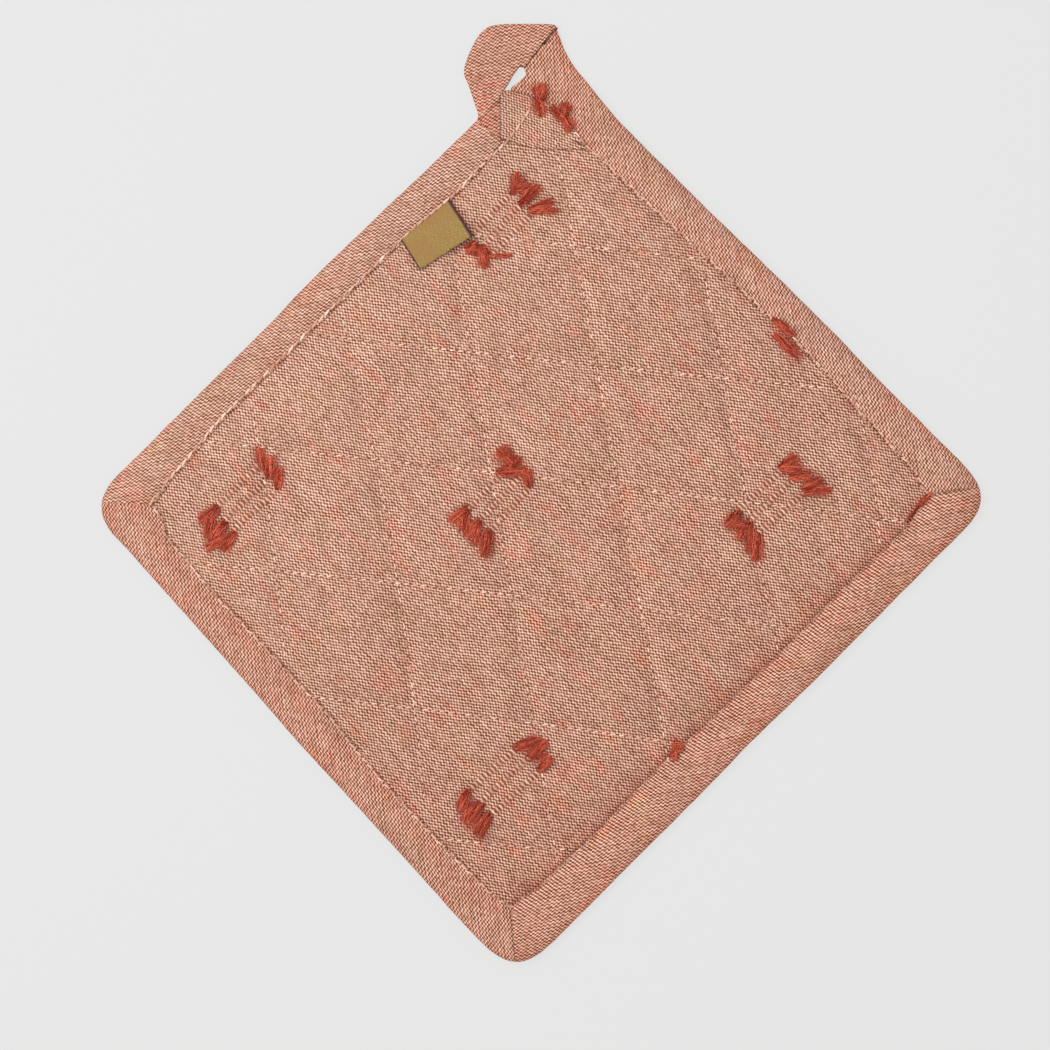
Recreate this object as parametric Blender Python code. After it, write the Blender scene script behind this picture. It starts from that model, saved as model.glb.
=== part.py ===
"""A square quilted pot holder that lies face up, turned so that one corner points along +Y.

The pad is one filled solid with sewn channels. A folded strip of the same cloth binds its edge,
and runs on past the top corner as a hanging loop. A woven label is caught in the binding, and
clipped tufts of yarn stand on the cloth in pairs.

The origin is on the surface that it lies on, below the middle of the whole outline, +Z is up.
Sizes in this file are millimetres until a mesh is written, which scales them to metres.
"""

import math

import bmesh
import bpy
from mathutils import Vector
from mathutils.bvhtree import BVHTree

MM = 0.001
GAP = 0.3                     # clear space kept between pieces that touch

# Corners of the pad: where the two straight outer edges would meet, and how square the rounded
# corner is (2 is a plain quarter of an ellipse, a larger value is squarer).
CORNERS = {
    "top":    {"x": 1.7, "y": 150.0, "squareness": 3.0},
    "left":   {"x": -153.6, "y": -4.6, "squareness": 2.65},
    "bottom": {"x": -9.5, "y": -164.8, "squareness": 2.7},
    "right":  {"x": 154.2, "y": -1.6, "squareness": 2.75},
}

# Sides in order round the pad, with the width of the binding seen from above: at each end, where
# the inner edges meet, and at seven places spread evenly between.
SIDES = (
    # from     to         first  widths along the side                              last
    ("top",    "left",    11.9, (11.8, 13.5, 11.8, 11.6, 11.6, 11.6, 13.6), 15.0),
    ("left",   "bottom",  16.2, (12.9, 12.1, 12.8, 13.3, 12.0, 12.4, 13.7), 15.6),
    ("bottom", "right",   18.0, (16.4, 15.8, 16.4, 15.3, 14.8, 15.2, 14.8), 16.4),
    ("right",  "top",     16.0, (13.8, 12.7, 11.0, 11.6, 12.5, 13.5, 14.3), 14.3),
)
INNER_BEND = 2.5              # radius of the binding's inner edge at the corners
BINDING_START = 34.0          # along the first side, where the binding begins over the loop's end
BINDING_END = 34.8            # short of the top corner on the last side, where the loop begins

# Heights above the surface.
PUFF_HEIGHT = 6.3             # top of the quilted puffs near the edge of the pad
CROWN = 0.9                   # how much higher the puffs are in the middle of the pad
CROWN_REACH = 150.0           # from the middle to where that fades out
CHANNEL_DEPTH = 1.5           # how far a sewn channel is drawn in from above
CHANNEL_REACH = 3.4           # how far from the seam the cloth is drawn in
UNDER_DEPTH = 0.7             # the same channels below, where the pad lies on the surface
UNDER_REACH = 2.6
UNDER_SETTLE = 6.0            # how far in from the binding the pad's underside meets the surface
RIM_TOP = 4.0                 # the pad's pressed edge inside the binding
RIM_BOTTOM = 1.1
RIM_FLAT = 1.0                # how far past the binding the pad stays at that height
RIM_RISE = 13.0               # and the distance in which it then reaches its full height
RIM_INSET = 3.3               # from the binding's outer edge to the pad's own edge
CREST = 6.2                   # top of the binding
MID_EDGE = 2.9                # height of the binding's outermost line
FLAP_TOP = 5.1                # the binding's inner edge, over the pad
STITCH_DIP = 4.75             # the line sewn through the binding
STITCH_INSET = 1.7            # from the binding's inner edge to that line
FLAP_UNDERSIDE = RIM_TOP + GAP
HEM_THICKNESS = RIM_BOTTOM - GAP
POCKET_INSET = 1.7            # cloth at the binding's outer edge, outside the pad's edge
MITRE_DEPTH = 0.7             # crease across the binding's top at each corner
STATION_SPACING = 11.0        # between the binding's sections along a side
CORNER_STEPS = 7              # steps between its sections round a corner, an odd number

# Quilting seams: start, end and bow. A positive bow swings a seam to the left of its direction.
ACROSS_SEAMS = (
    # x0      y0      x1     y1      bow
    (-22.4,   86.2,   53.5,  78.5,   0.0),
    (-77.1,   52.8,   95.7,  34.9,  -0.4),
    (-115.3,  17.0,  121.0, -10.0,   0.7),
    (-118.6, -24.1,   85.6, -46.1,   0.8),
    (-77.5,  -69.4,   46.7, -85.2,   0.8),
    (-34.3, -116.9,   13.0, -121.0, -0.6),
)
DOWN_SEAMS = (
    (-97.4,   26.8,  -86.6,  -55.2,  0.9),
    (-67.0,   57.9,  -39.7, -104.1,  3.5),
    (-29.2,   79.8,    5.9, -127.7, -0.3),
    (4.6,    118.6,   42.7,  -90.6,  0.2),
    (54.5,    76.4,   79.8,  -53.5, -0.8),
    (105.8,   32.6,  114.2,  -18.1,  1.3),
)
SEAM_PITCH = 41.0             # between neighbouring seams, used past the outermost ones
CELL_STEPS = (0.0, 0.09, 0.27, 0.5, 0.73, 0.91)   # grid lines across one quilted diamond

GRID_FADE = 14.0              # how far in the pad's grid gives way to the shape of its edges
TOP_EDGE = 114.8              # the pad ends here at its top corner, against the corner fold
TOP_EDGE_BEND = -4.2          # to the left of this place that edge slopes up
TOP_EDGE_SLOPE = 0.40
TOP_EDGE_RISE = 0.35          # share of the pad's full height that it has at that edge
CORNER_CUT = 13.5             # the pad's other corners are cut this far in from the outer corner

# The hanging loop, section by section from the binding to the strip's end: a point on its outer
# edge, one on its inner edge, and the heights of its underside and top.
LOOP_SECTIONS = (
    # outer_x outer_y inner_x inner_y bottom top
    (24.5,   124.9,   16.5,  116.3,   0.0,   6.0),
    (18.7,   131.8,   11.6,  121.8,   0.1,   5.4),
    (14.0,   138.0,    4.7,  129.6,   0.3,   4.2),
    (11.3,   142.3,   -2.2,  132.5,   0.3,   3.4),
    (8.6,    147.7,   -9.4,  135.9,   0.2,   2.9),
    (6.6,    152.4,   -5.6,  140.2,   0.1,   2.7),
    (4.7,    157.4,   -5.9,  143.3,   0.1,   2.6),
    (3.5,    158.1,   -6.4,  143.7,   0.1,   3.6),
    (-3.9,   158.1,   -7.4,  143.6,   0.1,   3.4),
    (-15.0,  157.8,   -8.4,  142.4,   0.1,   3.2),
    (-19.1,  155.4,   -9.3,  141.2,   0.1,   3.2),
    (-22.8,  150.4,  -10.1,  139.9,   0.1,   3.2),
    (-26.2,  142.3,  -11.1,  138.0,   0.2,   3.4),
    (-24.5,  136.9,  -12.3,  136.2,   0.4,   3.8),
    (-22.6,  131.1,  -13.9,  133.5,   0.8,   4.4),
    (-21.4,  127.4,  -13.9,  128.1,   1.2,   4.9),
    (-20.8,  125.2,  -13.9,  119.9,   1.6,   5.3),
)
STRIP_EDGE = 1.1              # rounding of the loop's two long edges

# Outline of the corner fold, anticlockwise.
FOLD_OUTLINE = (
    (-13.5, 119.1), (-10.3, 118.3), (-4.2, 115.9), (2.9, 115.4), (15.7, 115.4), (10.8, 121.2),
    (3.9, 128.8), (-2.9, 131.6), (-6.2, 134.2), (-9.6, 135.2), (-11.6, 135.3), (-13.5, 133.5),
)
FOLD_EDGE_HEIGHT = 4.7
FOLD_HEIGHT = 5.7
FOLD_ROUNDING = 1.3

# The label's corners: the first two are at the binding, the others lie on the pad.
LABEL_CORNERS = ((-47.4, 84.7), (-30.9, 98.4), (-23.3, 86.5), (-41.3, 74.9))
LABEL_THICKNESS = 0.8
LABEL_LIFT = 0.7              # how far its free edge stands off the cloth

# Tufts of clipped yarn. Each lock runs from its root to its tip and spreads to the given width.
TUFTS = {
    # root_x root_y tip_x tip_y width
    "tuft_a_upper": (
        (-9.6, 101.1, -7.9, 107.2, 2.7),
        (-7.9, 102.1, -4.2, 103.8, 2.7),
        (-6.6, 97.4, -0.8, 102.8, 3.0),
        (-3.5, 94.7, 3.9, 97.4, 2.7),
        (-1.9, 94.3, 5.6, 94.7, 1.4),
    ),
    "tuft_a_lower": (
        (-22.4, 83.5, -25.5, 80.8, 2.4),
        (-21.4, 82.5, -22.8, 79.5, 2.4),
        (-20.4, 81.8, -18.4, 78.5, 3.0),
        (-18.7, 79.5, -20.1, 75.4, 2.4),
        (-18.1, 79.1, -10.3, 79.5, 1.0),
    ),
    "tuft_b_upper": (
        (-0.8, 132.5, -0.5, 137.5, 3.7),
        (-1.5, 132.1, 0.5, 126.7, 2.7),
    ),
    "tuft_b_lower": (
        (3.9, 129.1, 6.9, 125.7, 2.4),
        (7.3, 126.4, 8.6, 131.1, 2.7),
        (7.3, 126.1, 10.3, 121.7, 3.0),
    ),
    "tuft_c_upper": (
        (80.8, 8.3, 86.2, 12.0, 3.0),
        (81.5, 7.6, 87.9, 7.6, 2.4),
        (84.2, 4.9, 91.3, 5.2, 2.7),
        (88.3, 1.2, 94.7, 3.9, 2.4),
        (88.9, -0.2, 97.7, 0.5, 2.7),
    ),
    "tuft_c_lower": (
        (66.3, -7.3, 62.3, -12.3, 3.0),
        (69.7, -10.6, 66.3, -16.4, 2.7),
        (70.0, -11.3, 64.0, -11.3, 2.0),
        (70.7, -12.3, 70.7, -20.8, 2.4),
        (73.1, -15.0, 72.1, -23.5, 2.7),
    ),
    "tuft_d_upper": (
        (-10.4, 8.4, -14.3, 14.3, 3.6),
        (-9.0, 7.0, -7.3, 11.6, 2.4),
        (-7.0, 5.0, -4.0, 8.0, 2.4),
        (-4.4, 2.6, -6.4, 7.4, 2.4),
    ),
    "tuft_d_lower": (
        (-25.1, -5.9, -30.9, -10.0, 2.4),
        (-25.5, -7.3, -26.5, -14.0, 2.7),
        (-21.1, -10.3, -25.5, -15.7, 3.0),
        (-21.1, -11.3, -22.1, -18.1, 2.4),
        (-17.7, -13.7, -19.4, -22.1, 3.4),
    ),
    "tuft_e_upper": (
        (-95.3, 6.9, -94.3, 14.7, 2.4),
        (-92.3, 4.2, -91.6, 11.3, 3.0),
        (-89.3, 1.2, -88.9, 8.6, 3.0),
    ),
    "tuft_e_lower": (
        (-109.4, -5.8, -114.9, -10.6, 2.8),
        (-110.9, -7.9, -112.2, -15.7, 2.7),
        (-106.8, -11.0, -111.2, -16.7, 3.0),
        (-104.1, -14.3, -107.8, -19.7, 3.4),
        (-108.2, -16.4, -113.2, -19.1, 2.4),
    ),
    "tuft_f_upper": (
        (-8.3, -85.9, -0.5, -83.5, 3.0),
        (-3.9, -89.6, -0.2, -85.6, 3.0),
        (-1.9, -86.9, 1.9, -84.2, 2.4),
        (-0.2, -93.3, 2.5, -88.9, 3.4),
    ),
    "tuft_f_lower": (
        (-25.1, -101.4, -27.8, -107.8, 3.0),
        (-20.8, -105.5, -25.5, -111.9, 3.4),
        (-23.8, -106.1, -26.2, -111.2, 2.4),
        (-17.7, -109.2, -22.1, -115.9, 3.4),
    ),
    "tuft_g_edge": (
        (78.8, 57.5, 85.2, 52.1, 2.7),
        (79.1, 52.5, 87.2, 45.1, 3.4),
    ),
    "tuft_h_edge": (
        (47.1, -85.9, 43.7, -85.6, 2.7),
        (45.7, -87.6, 44.0, -90.3, 2.0),
    ),
    "tuft_k_edge": (
        (129.0, -1.9, 127.2, -4.2, 1.0),
        (125.1, -6.9, 122.7, -10.0, 1.0),
    ),
}
LOCK_THICKNESS = 0.9
LOCK_ARCH = 0.6               # how far the middle of a lock stands up
LOCK_SHAPE = (
    # share of its length, half its width there, share of the arch
    (0.0, 0.30, 0.0),
    (0.35, 0.42, 1.0),
    (0.75, 0.50, 0.2),
    (1.0, 0.36, 0.0),
)
BACKING_WIDTH = 1.5
BACKING_THICKNESS = 0.6

# name: colour, roughness
MATERIALS = {
    "chambray": ((0.53, 0.29, 0.20, 1.0), 0.9),
    "label_weave": ((0.42, 0.27, 0.13, 1.0), 0.75),
    "tuft_yarn": ((0.46, 0.07, 0.03, 1.0), 0.85),
}


def remove_existing_objects():
    for existing in list(bpy.data.objects):
        bpy.data.objects.remove(existing, do_unlink=True)


def make_materials():
    made = {}
    for name, (colour, roughness) in MATERIALS.items():
        material = bpy.data.materials.new(name)
        material.use_nodes = True
        shader = material.node_tree.nodes["Principled BSDF"]
        shader.inputs["Base Color"].default_value = colour
        shader.inputs["Roughness"].default_value = roughness
        shader.inputs["Metallic"].default_value = 0.0
        material.diffuse_color = colour
        made[name] = material
    return made


def add_piece(name, bm, material):
    """Finish a mesh that was made in millimetres, scale it to metres and link it as an object."""
    bm.normal_update()
    bmesh.ops.triangulate(bm, faces=[f for f in bm.faces if len(f.verts) > 4])
    bmesh.ops.recalc_face_normals(bm, faces=bm.faces)
    bmesh.ops.scale(bm, vec=Vector((MM, MM, MM)), verts=bm.verts)
    mesh = bpy.data.meshes.new(name)
    bm.to_mesh(mesh)
    bm.free()
    mesh.materials.append(material)
    mesh.shade_smooth()
    mesh.set_sharp_from_angle(angle=math.radians(35))
    piece = bpy.data.objects.new(name, mesh)
    bpy.context.scene.collection.objects.link(piece)
    return piece


def smooth_step(value):
    t = min(max(value, 0.0), 1.0)
    return t * t * (3.0 - 2.0 * t)


def corner_point(name):
    return Vector((CORNERS[name]["x"], CORNERS[name]["y"]))


class Side:
    """One side of the pad: a straight outer edge and the binding's width along it."""

    def __init__(self, start, end, first, widths, last):
        self.start = corner_point(start)
        self.end = corner_point(end)
        self.length = (self.end - self.start).length
        self.along = (self.end - self.start).normalized()
        self.inward = Vector((-self.along.y, self.along.x))
        step = self.length / (len(widths) + 1)
        self.stops = [(0.7 * step, first)]
        self.stops += [(step * (i + 1), width) for i, width in enumerate(widths)]
        self.stops += [(self.length - 0.7 * step, last)]
        self.widest = max(width for _, width in self.stops)

    def width(self, place):
        """Width of the binding at a distance along the side."""
        if place <= self.stops[0][0]:
            return self.stops[0][1]
        for (low, at_low), (high, at_high) in zip(self.stops, self.stops[1:]):
            if place <= high:
                return at_low + (at_high - at_low) * smooth_step((place - low) / (high - low))
        return self.stops[-1][1]

    def point(self, place, inset):
        return self.start + self.along * place + self.inward * inset

    def place_of(self, spot):
        return (spot - self.start).dot(self.along)

    def inset_of(self, spot):
        return (spot - self.start).dot(self.inward)


def make_sides():
    return [Side(*row) for row in SIDES]


# ---------------------------------------------------------------- quilted panel


def seam_offset(seam, value, vertical):
    """Where a seam crosses the line y = value (vertical seams) or x = value."""
    x0, y0, x1, y1, bow = seam
    if vertical:
        x0, y0, x1, y1, bow = y0, x0, y1, x1, -bow
    t = (value - x0) / (x1 - x0)
    lean = math.hypot(x1 - x0, y1 - y0) / abs(x1 - x0)
    side = math.copysign(1.0, x1 - x0)
    return y0 + (y1 - y0) * t + side * bow * lean * 4.0 * t * (1.0 - t)


def seam_family(seams, vertical):
    """Functions for every grid line of one direction: the seams and the lines between them."""
    outward = -SEAM_PITCH if vertical else SEAM_PITCH

    def seam_line(index):
        clamped = min(max(index, 0), len(seams) - 1)
        shift = (clamped - index) * outward
        return lambda value: seam_offset(seams[clamped], value, vertical) + shift

    lines = []
    for index in range(-2, len(seams) + 2):
        low, high = seam_line(index), seam_line(index + 1)
        for step in CELL_STEPS:
            lines.append(lambda value, low=low, high=high, step=step:
                         low(value) * (1.0 - step) + high(value) * step)
    return lines


def crossing(across, down):
    """The point where a line that runs across meets one that runs down."""
    x, y = 0.0, 0.0
    for _ in range(12):
        y = across(x)
        x = down(y)
    return Vector((x, y))


def seam_distances(spot):
    """Distance from a point to each quilting seam."""
    distances = []
    for seam in ACROSS_SEAMS:
        slope = (seam[3] - seam[1]) / (seam[2] - seam[0])
        distances.append(abs(spot.y - seam_offset(seam, spot.x, False)) / math.hypot(1.0, slope))
    for seam in DOWN_SEAMS:
        slope = (seam[2] - seam[0]) / (seam[3] - seam[1])
        distances.append(abs(spot.x - seam_offset(seam, spot.y, True)) / math.hypot(1.0, slope))
    return distances


def drawn_in(spot, reach):
    """How far the nearest seams draw the cloth in, from 0 to 1."""
    left = 1.0
    for distance in seam_distances(spot):
        left *= 1.0 - math.exp(-(distance / reach) ** 2)
    return 1.0 - left


def depth_inside(sides, spot):
    """Distance from a point to the binding's inner edge, positive on the open pad."""
    depths = sorted(side.inset_of(spot) - side.width(side.place_of(spot)) for side in sides)
    if depths[1] >= INNER_BEND:
        return depths[0]
    return INNER_BEND - math.hypot(INNER_BEND - depths[0], INNER_BEND - depths[1])


def pad_heights(sides, spot):
    """Heights of the pad's underside and top at a point."""
    inside = depth_inside(sides, spot)
    top_edge = TOP_EDGE + TOP_EDGE_SLOPE * max(0.0, TOP_EDGE_BEND - spot.x) - spot.y
    rise = math.sin(0.5 * math.pi * min(max((inside - RIM_FLAT) / RIM_RISE, 0.0), 1.0))
    crown = CROWN * max(0.0, 1.0 - (spot.length / CROWN_REACH) ** 2)
    full = PUFF_HEIGHT + crown - CHANNEL_DEPTH * drawn_in(spot, CHANNEL_REACH)
    rise *= TOP_EDGE_RISE + (1.0 - TOP_EDGE_RISE) * smooth_step(top_edge / RIM_RISE)
    top = RIM_TOP + (full - RIM_TOP) * rise
    settle = smooth_step((inside - RIM_FLAT) / UNDER_SETTLE)
    bottom = RIM_BOTTOM * (1.0 - settle) + UNDER_DEPTH * drawn_in(spot, UNDER_REACH) * settle
    return bottom, top


def cut_sheet(bm, point, keep_side, clear):
    """Cut a flat sheet along a line and, if asked to, drop what is on the far side of it."""
    bmesh.ops.bisect_plane(
        bm, geom=bm.verts[:] + bm.edges[:] + bm.faces[:], dist=1e-4,
        plane_co=Vector((*point, 0.0)), plane_no=Vector((*-keep_side, 0.0)), clear_outer=clear)


def fit_to_binding(sides, bm):
    """Slide the sheet's points near each side so that one of its lines follows the binding."""
    moves = []
    for vert in bm.verts:
        spot = vert.co.xy
        move = Vector((0.0, 0.0))
        for side in sides:
            nominal = side.widest + RIM_FLAT
            inset = side.inset_of(spot)
            change = side.width(side.place_of(spot)) - side.widest
            if inset < nominal:
                share = (inset - RIM_INSET) / (nominal - RIM_INSET)
            else:
                share = 1.0 - (inset - nominal) / GRID_FADE
            move += side.inward * change * min(max(share, 0.0), 1.0)
        moves.append(move)
    for vert, move in zip(bm.verts, moves):
        vert.co.xy += move


def flat_quilt_sheet(sides):
    """A flat sheet whose grid lines follow the quilting, cut to the pad's outline."""
    across_lines = seam_family(ACROSS_SEAMS, False)
    down_lines = seam_family(DOWN_SEAMS, True)
    bm = bmesh.new()
    grid = [[bm.verts.new((*crossing(across, down), 0.0)) for down in down_lines]
            for across in across_lines]
    for upper, lower in zip(grid, grid[1:]):
        for i in range(len(upper) - 1):
            bm.faces.new((upper[i], upper[i + 1], lower[i + 1], lower[i]))

    for side in sides:
        cut_sheet(bm, side.point(0.0, RIM_INSET), side.inward, True)
        cut_sheet(bm, side.point(0.0, side.widest + RIM_FLAT), side.inward, False)
        cut_sheet(bm, side.point(0.0, side.widest + 0.4 * RIM_RISE), side.inward, False)
    for name in ("left", "bottom", "right"):
        corner = corner_point(name)
        inward = -corner.normalized()
        cut_sheet(bm, corner + inward * CORNER_CUT, inward, True)
    fit_to_binding(sides, bm)
    cut_sheet(bm, Vector((0.0, TOP_EDGE)), Vector((0.0, -1.0)), True)
    for vert in bm.verts:
        share = max(0.0, 1.0 - (TOP_EDGE - vert.co.y) / GRID_FADE)
        stretch = share * TOP_EDGE_SLOPE * max(0.0, TOP_EDGE_BEND - vert.co.x)
        vert.co.xy -= sides[0].along * stretch
    bmesh.ops.remove_doubles(bm, verts=bm.verts, dist=0.35)
    bmesh.ops.dissolve_degenerate(bm, dist=0.05, edges=bm.edges)
    return bm


def make_panel(sides, material):
    """The quilted pad: the flat sheet doubled, closed round its edge, and filled."""
    bm = flat_quilt_sheet(sides)
    lower = bm.faces[:]
    copied = bmesh.ops.duplicate(bm, geom=lower)
    pairs = copied["vert_map"]
    lower_verts = {vert for face in lower for vert in face.verts}
    rim = [edge for edge in bm.edges if edge.is_boundary and edge.verts[0] in lower_verts]
    for edge in rim:
        a, b = edge.verts
        bm.faces.new((a, b, pairs[b], pairs[a]))
    for low in lower_verts:
        bottom, top = pad_heights(sides, low.co.xy)
        pairs[low].co.z = top
        low.co.z = bottom
    return add_piece("quilted_panel", bm, material)


# ---------------------------------------------------------------- binding


def binding_section(outer, inner):
    """Points of the folded strip round the pad's edge, from its inner edge over the top."""
    width = (inner - outer).length
    towards = (inner - outer) / width
    profile = (
        (width, FLAP_TOP),
        (width - STITCH_INSET, STITCH_DIP),
        (0.66 * width, CREST - 0.15),
        (0.42 * width, CREST),
        (0.20 * width, CREST - 0.8),
        (0.05 * width, CREST - 1.9),
        (0.0, MID_EDGE),
        (0.06 * width, 1.0),
        (0.20 * width, 0.0),
        (width, 0.0),
        (width, HEM_THICKNESS),
        (POCKET_INSET + 1.0, HEM_THICKNESS),
        (POCKET_INSET, HEM_THICKNESS + 0.9),
        (POCKET_INSET, FLAP_UNDERSIDE - 0.9),
        (POCKET_INSET + 1.0, FLAP_UNDERSIDE),
        (width, FLAP_UNDERSIDE),
    )
    return [Vector((*(outer + towards * along), height)) for along, height in profile]


def straight_stations(side, first_end, last_end):
    """Evenly spaced stations along a side: an outer point, an inner point, and no crease."""
    count = round((last_end - first_end) / STATION_SPACING)
    places = [first_end + (last_end - first_end) * i / count for i in range(count + 1)]
    return [(side.point(place, 0.0), side.point(place, side.width(place)), False)
            for place in places]


def corner_stations(side, following, squareness):
    """Stations that fan out round a corner, with a crease on the middle two."""
    reach_a = side.width(side.length) + INNER_BEND
    reach_b = following.width(0.0) + INNER_BEND
    centre = side.point(side.length - reach_b, reach_a)
    stations = []
    for i in range(1, CORNER_STEPS):
        angle = 0.5 * math.pi * i / CORNER_STEPS
        ray = -side.inward * math.cos(angle) - following.inward * math.sin(angle)
        across = math.cos(angle) / reach_a, math.sin(angle) / reach_b
        reach = sum(share ** squareness for share in across) ** (-1.0 / squareness)
        crease = abs(2 * i - CORNER_STEPS) == 1
        stations.append((centre + ray * reach, centre + ray * INNER_BEND, crease))
    return stations


def binding_stations(sides):
    """Stations round the pad, from the binding's start to its end."""
    stations = straight_stations(sides[0], BINDING_START, side_end(sides[0], sides[1]))
    for index in (1, 2, 3):
        side, before = sides[index], sides[index - 1]
        stations += corner_stations(before, side, CORNERS[SIDES[index][0]]["squareness"])
        first_end = side.width(0.0) + INNER_BEND
        last_end = side.length - BINDING_END if index == 3 else side_end(side, sides[index + 1])
        stations += straight_stations(side, first_end, last_end)
    return stations


def side_end(side, following):
    """Where a side's straight stretch ends, at the corner before the following side."""
    return side.length - following.width(0.0) - INNER_BEND


def bridge_sections(bm, sections):
    """Skin a row of closed sections and cap its two ends."""
    rings = [[bm.verts.new(point) for point in section] for section in sections]
    count = len(rings[0])
    for ring, following in zip(rings, rings[1:]):
        for i in range(count):
            j = (i + 1) % count
            bm.faces.new((ring[i], ring[j], following[j], following[i]))
    bm.faces.new(rings[0])
    bm.faces.new(reversed(rings[-1]))


def make_binding(sides, material):
    """The strip folded over the edge, with a crease where it is mitred at each corner."""
    sections = []
    for outer, inner, crease in binding_stations(sides):
        section = binding_section(outer, inner)
        if crease:
            for point in section[2:5]:
                point.z -= MITRE_DEPTH
        sections.append(section)
    bm = bmesh.new()
    bridge_sections(bm, sections)
    return add_piece("binding", bm, material)


# ---------------------------------------------------------------- hanging loop and corner fold


def make_loop(material):
    """The strip's free end: out past the corner, mitred at the apex, and back."""
    sections = []
    for outer_x, outer_y, inner_x, inner_y, bottom, top in LOOP_SECTIONS:
        outer, inner = Vector((outer_x, outer_y)), Vector((inner_x, inner_y))
        width = (inner - outer).length
        towards = (inner - outer) / width
        edge = min(STRIP_EDGE, 0.2 * width)
        thick = top - bottom
        profile = (
            (0.0, bottom + 0.5 * thick), (edge, bottom), (width - edge, bottom),
            (width, bottom + 0.4 * thick), (width, bottom + 0.6 * thick),
            (width - edge, top), (0.5 * width, top + 0.1), (edge, top - 0.1),
        )
        sections.append([Vector((*(outer + towards * along), z)) for along, z in profile])
    bm = bmesh.new()
    bridge_sections(bm, sections)
    return add_piece("hanging_loop", bm, material)


def make_corner_fold(material):
    """The strip's folded end over the pad's top corner, rounded above and below."""
    bm = bmesh.new()
    base = bm.faces.new([bm.verts.new((x, y, FOLD_ROUNDING * 0.5)) for x, y in FOLD_OUTLINE])
    grown = bmesh.ops.extrude_face_region(bm, geom=[base])
    upper = [item for item in grown["geom"] if isinstance(item, bmesh.types.BMFace)][0]
    for vert in upper.verts:
        vert.co.z = FOLD_EDGE_HEIGHT
    for face, height in ((upper, FOLD_HEIGHT), (base, 0.0)):
        bmesh.ops.inset_region(bm, faces=[face], thickness=FOLD_ROUNDING, use_even_offset=True)
        for vert in face.verts:
            vert.co.z = height
    return add_piece("corner_fold", bm, material)


# ---------------------------------------------------------------- label and tufts


class Surface:
    """The tops of finished pieces, for what is laid on them."""

    def __init__(self, pieces):
        self.trees = []
        for piece in pieces:
            bm = bmesh.new()
            bm.from_mesh(piece.data)
            self.trees.append(BVHTree.FromBMesh(bm))
            bm.free()

    def height(self, x, y):
        start = Vector((x * MM, y * MM, 0.1))
        found = 0.0
        for tree in self.trees:
            hit = tree.ray_cast(start, Vector((0.0, 0.0, -1.0)))[0]
            if hit is not None:
                found = max(found, hit.z / MM)
        return found

    def height_around(self, x, y, reach):
        """The highest point within a small square."""
        offsets = (-reach, -0.5 * reach, 0.0, 0.5 * reach, reach)
        return max(self.height(x + dx, y + dy) for dx in offsets for dy in offsets)


def make_label(surface, material):
    """The woven tab: a thin sheet on the pad, its free edge a little off the cloth."""
    corners = [Vector(corner) for corner in LABEL_CORNERS]
    columns, rows = 6, 4
    clear_around = 1.2
    grids = []
    for layer in (0.0, LABEL_THICKNESS):
        grid = []
        for row in range(rows + 1):
            down = row / rows
            left = corners[0].lerp(corners[3], down)
            right = corners[1].lerp(corners[2], down)
            spots = [left.lerp(right, column / columns) for column in range(columns + 1)]
            base = max(surface.height_around(spot.x, spot.y, clear_around) for spot in spots)
            lift = GAP + LABEL_LIFT * down
            grid.append([Vector((spot.x, spot.y, base + lift + layer)) for spot in spots])
        grids.append(grid)
    bm = bmesh.new()
    low, high = [[[bm.verts.new(p) for p in row] for row in grid] for grid in grids]
    for r in range(rows):
        for c in range(columns):
            for sheet in (low, high):
                bm.faces.new((sheet[r][c], sheet[r][c + 1], sheet[r + 1][c + 1], sheet[r + 1][c]))
    for c in range(columns):
        for r in (0, rows):
            bm.faces.new((low[r][c], low[r][c + 1], high[r][c + 1], high[r][c]))
    for r in range(rows):
        for c in (0, columns):
            bm.faces.new((low[r][c], low[r + 1][c], high[r + 1][c], high[r][c]))
    return add_piece("label", bm, material)


def lock_sections(surface, lock, root_height):
    """Four-sided sections of one lock, from inside the backing to its tip."""
    root, tip, width = Vector(lock[0:2]), Vector(lock[2:4]), lock[4]
    direction = (tip - root).normalized()
    across = Vector((-direction.y, direction.x))
    half = 0.5 * LOCK_THICKNESS
    sections = []
    for share, spread, arch in LOCK_SHAPE:
        spot = root.lerp(tip, share)
        height = root_height
        if share > 0.0:
            ground = surface.height_around(*spot, spread * width)
            height = ground + 1.4 * GAP + half + LOCK_ARCH * arch
        reach = across * width * spread
        sections.append((
            Vector((*(spot - reach), height)), Vector((*spot, height + half)),
            Vector((*(spot + reach), height)), Vector((*spot, height - half)),
        ))
    return sections


def backing_frame(roots):
    """The rectangle round the locks' roots: its corners, in order."""
    pairs = [(a, b) for a in roots for b in roots]
    start, end = max(pairs, key=lambda pair: (pair[1] - pair[0]).length)
    along = (end - start).normalized()
    across = Vector((-along.y, along.x))
    margin = 0.5 * BACKING_WIDTH
    sideways = [(root - start).dot(across) for root in roots]
    low, high = min(sideways) - margin, max(sideways) + margin
    near, far = -margin, (end - start).length + margin
    return [start + along * x + across * y
            for x, y in ((near, low), (far, low), (far, high), (near, high))]


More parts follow.
